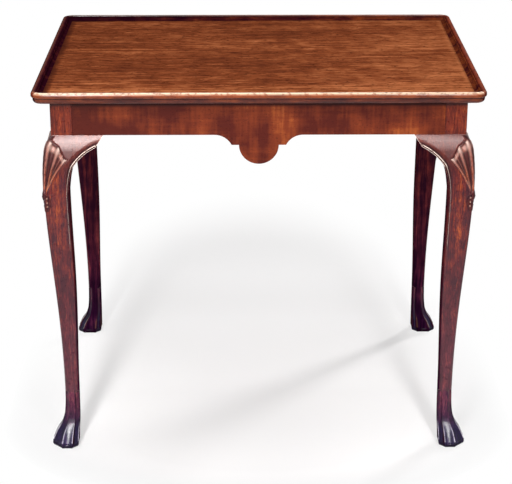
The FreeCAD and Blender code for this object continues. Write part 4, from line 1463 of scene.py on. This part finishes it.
    def add_toe_lamps(self, side: int) -> None:
        """Small lamps that put glints on the front foot's toe.

        Args:
            side: -1 for the left foot and 1 for the right one.
        """
        x, y, z = self.toe[0] * side, self.toe[1], self.toe[2]
        turn = math.radians(self.toe_lamp_turn)
        for number, angle in enumerate(self.toe_lamp_angles):
            out = self.toe_lamp_distance * math.cos(math.radians(angle))
            up = self.toe_lamp_distance * math.sin(math.radians(angle))
            at = (x + out * side * math.sin(turn), y - out * math.cos(turn), z + up)
            name = f"foot_{side}_{number}"
            self.add_lamp(name, at, (x, y, z), self.toe_lamp_size, self.toe_lamp_power, 20.0)

    def build(self) -> None:
        """Set up floor, world, lamps and camera."""
        self.build_floor()
        scene = bpy.context.scene
        scene.view_settings.view_transform = "Standard"
        world = bpy.data.worlds.new("Studio")
        world.use_nodes = True
        world.node_tree.nodes.clear()
        add = partial(add_node, world.node_tree)
        path = add("LightPath").outputs
        seen = add("Math", (path["Is Camera Ray"], path["Is Glossy Ray"]), operation="ADD")
        seen = add("Math", (seen, path["Is Transmission Ray"]), operation="ADD")
        level = add("MapRange", (seen, 0.0, 1.0, self.ambient, 1.0))
        sky = add("Background", {"Color": to_linear("ffffff"), "Strength": level})
        add("OutputWorld", (sky,))
        scene.world = world

        for name, knee, brightness in self.knees:
            self.add_strips(name, knee, brightness)
        self.add_lamp("overhead", (-0.7, -0.4, 3.1), self.middle, (0.7, 0.5), 5.0, 100.0)
        self.add_lamp("behind", (1.8, 1.65, 2.3), self.middle, (0.36, 0.36), 14.0, 100.0)
        for side in (-1, 1):
            self.add_toe_lamps(side)

        lens = bpy.data.cameras.new("camera")
        lens.lens, lens.sensor_width, lens.sensor_fit = self.lens, self.sensor, "HORIZONTAL"
        lens.clip_end = self.farthest
        camera = bpy.data.objects.new("camera", lens)
        scene.collection.objects.link(camera)
        camera.location = self.camera_at
        camera.rotation_euler = (math.pi / 2 - self.pitch, 0.0, -self.yaw)
        scene.camera = camera


# ------------------------------------------------------------------ the whole table


def main() -> None:
    """Build every sub-assembly in order and note the model's size."""
    logging.basicConfig(level=logging.INFO, format="%(name)s %(message)s")
    rail_low, rail_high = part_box("left_rail")
    origin = (-rail_low.x / MM, -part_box("front_rail")[0].y / MM)
    apron, underside = rail_low.z / MM, rail_high.z / MM

    TrayTop().dress()
    carved, inner, foot = (look.build() for look in (LEG, LEG_INSIDE, FOOT))
    knee = Knee(apron=apron)
    CabrioleLeg(origin, underside, knee=knee).dress([carved, inner, foot])
    KneeBracket(origin, knee=knee).dress(carved)
    Rails(origin, apron, underside).dress(APRON.build(), APRON_SIDE.build())
    pine = Pine().build()
    for name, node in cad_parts.items():
        if name.startswith("block"):
            node.data.materials.clear()
            node.data.materials.append(pine)
    Studio().build()


if __name__ == "__main__":
    main()
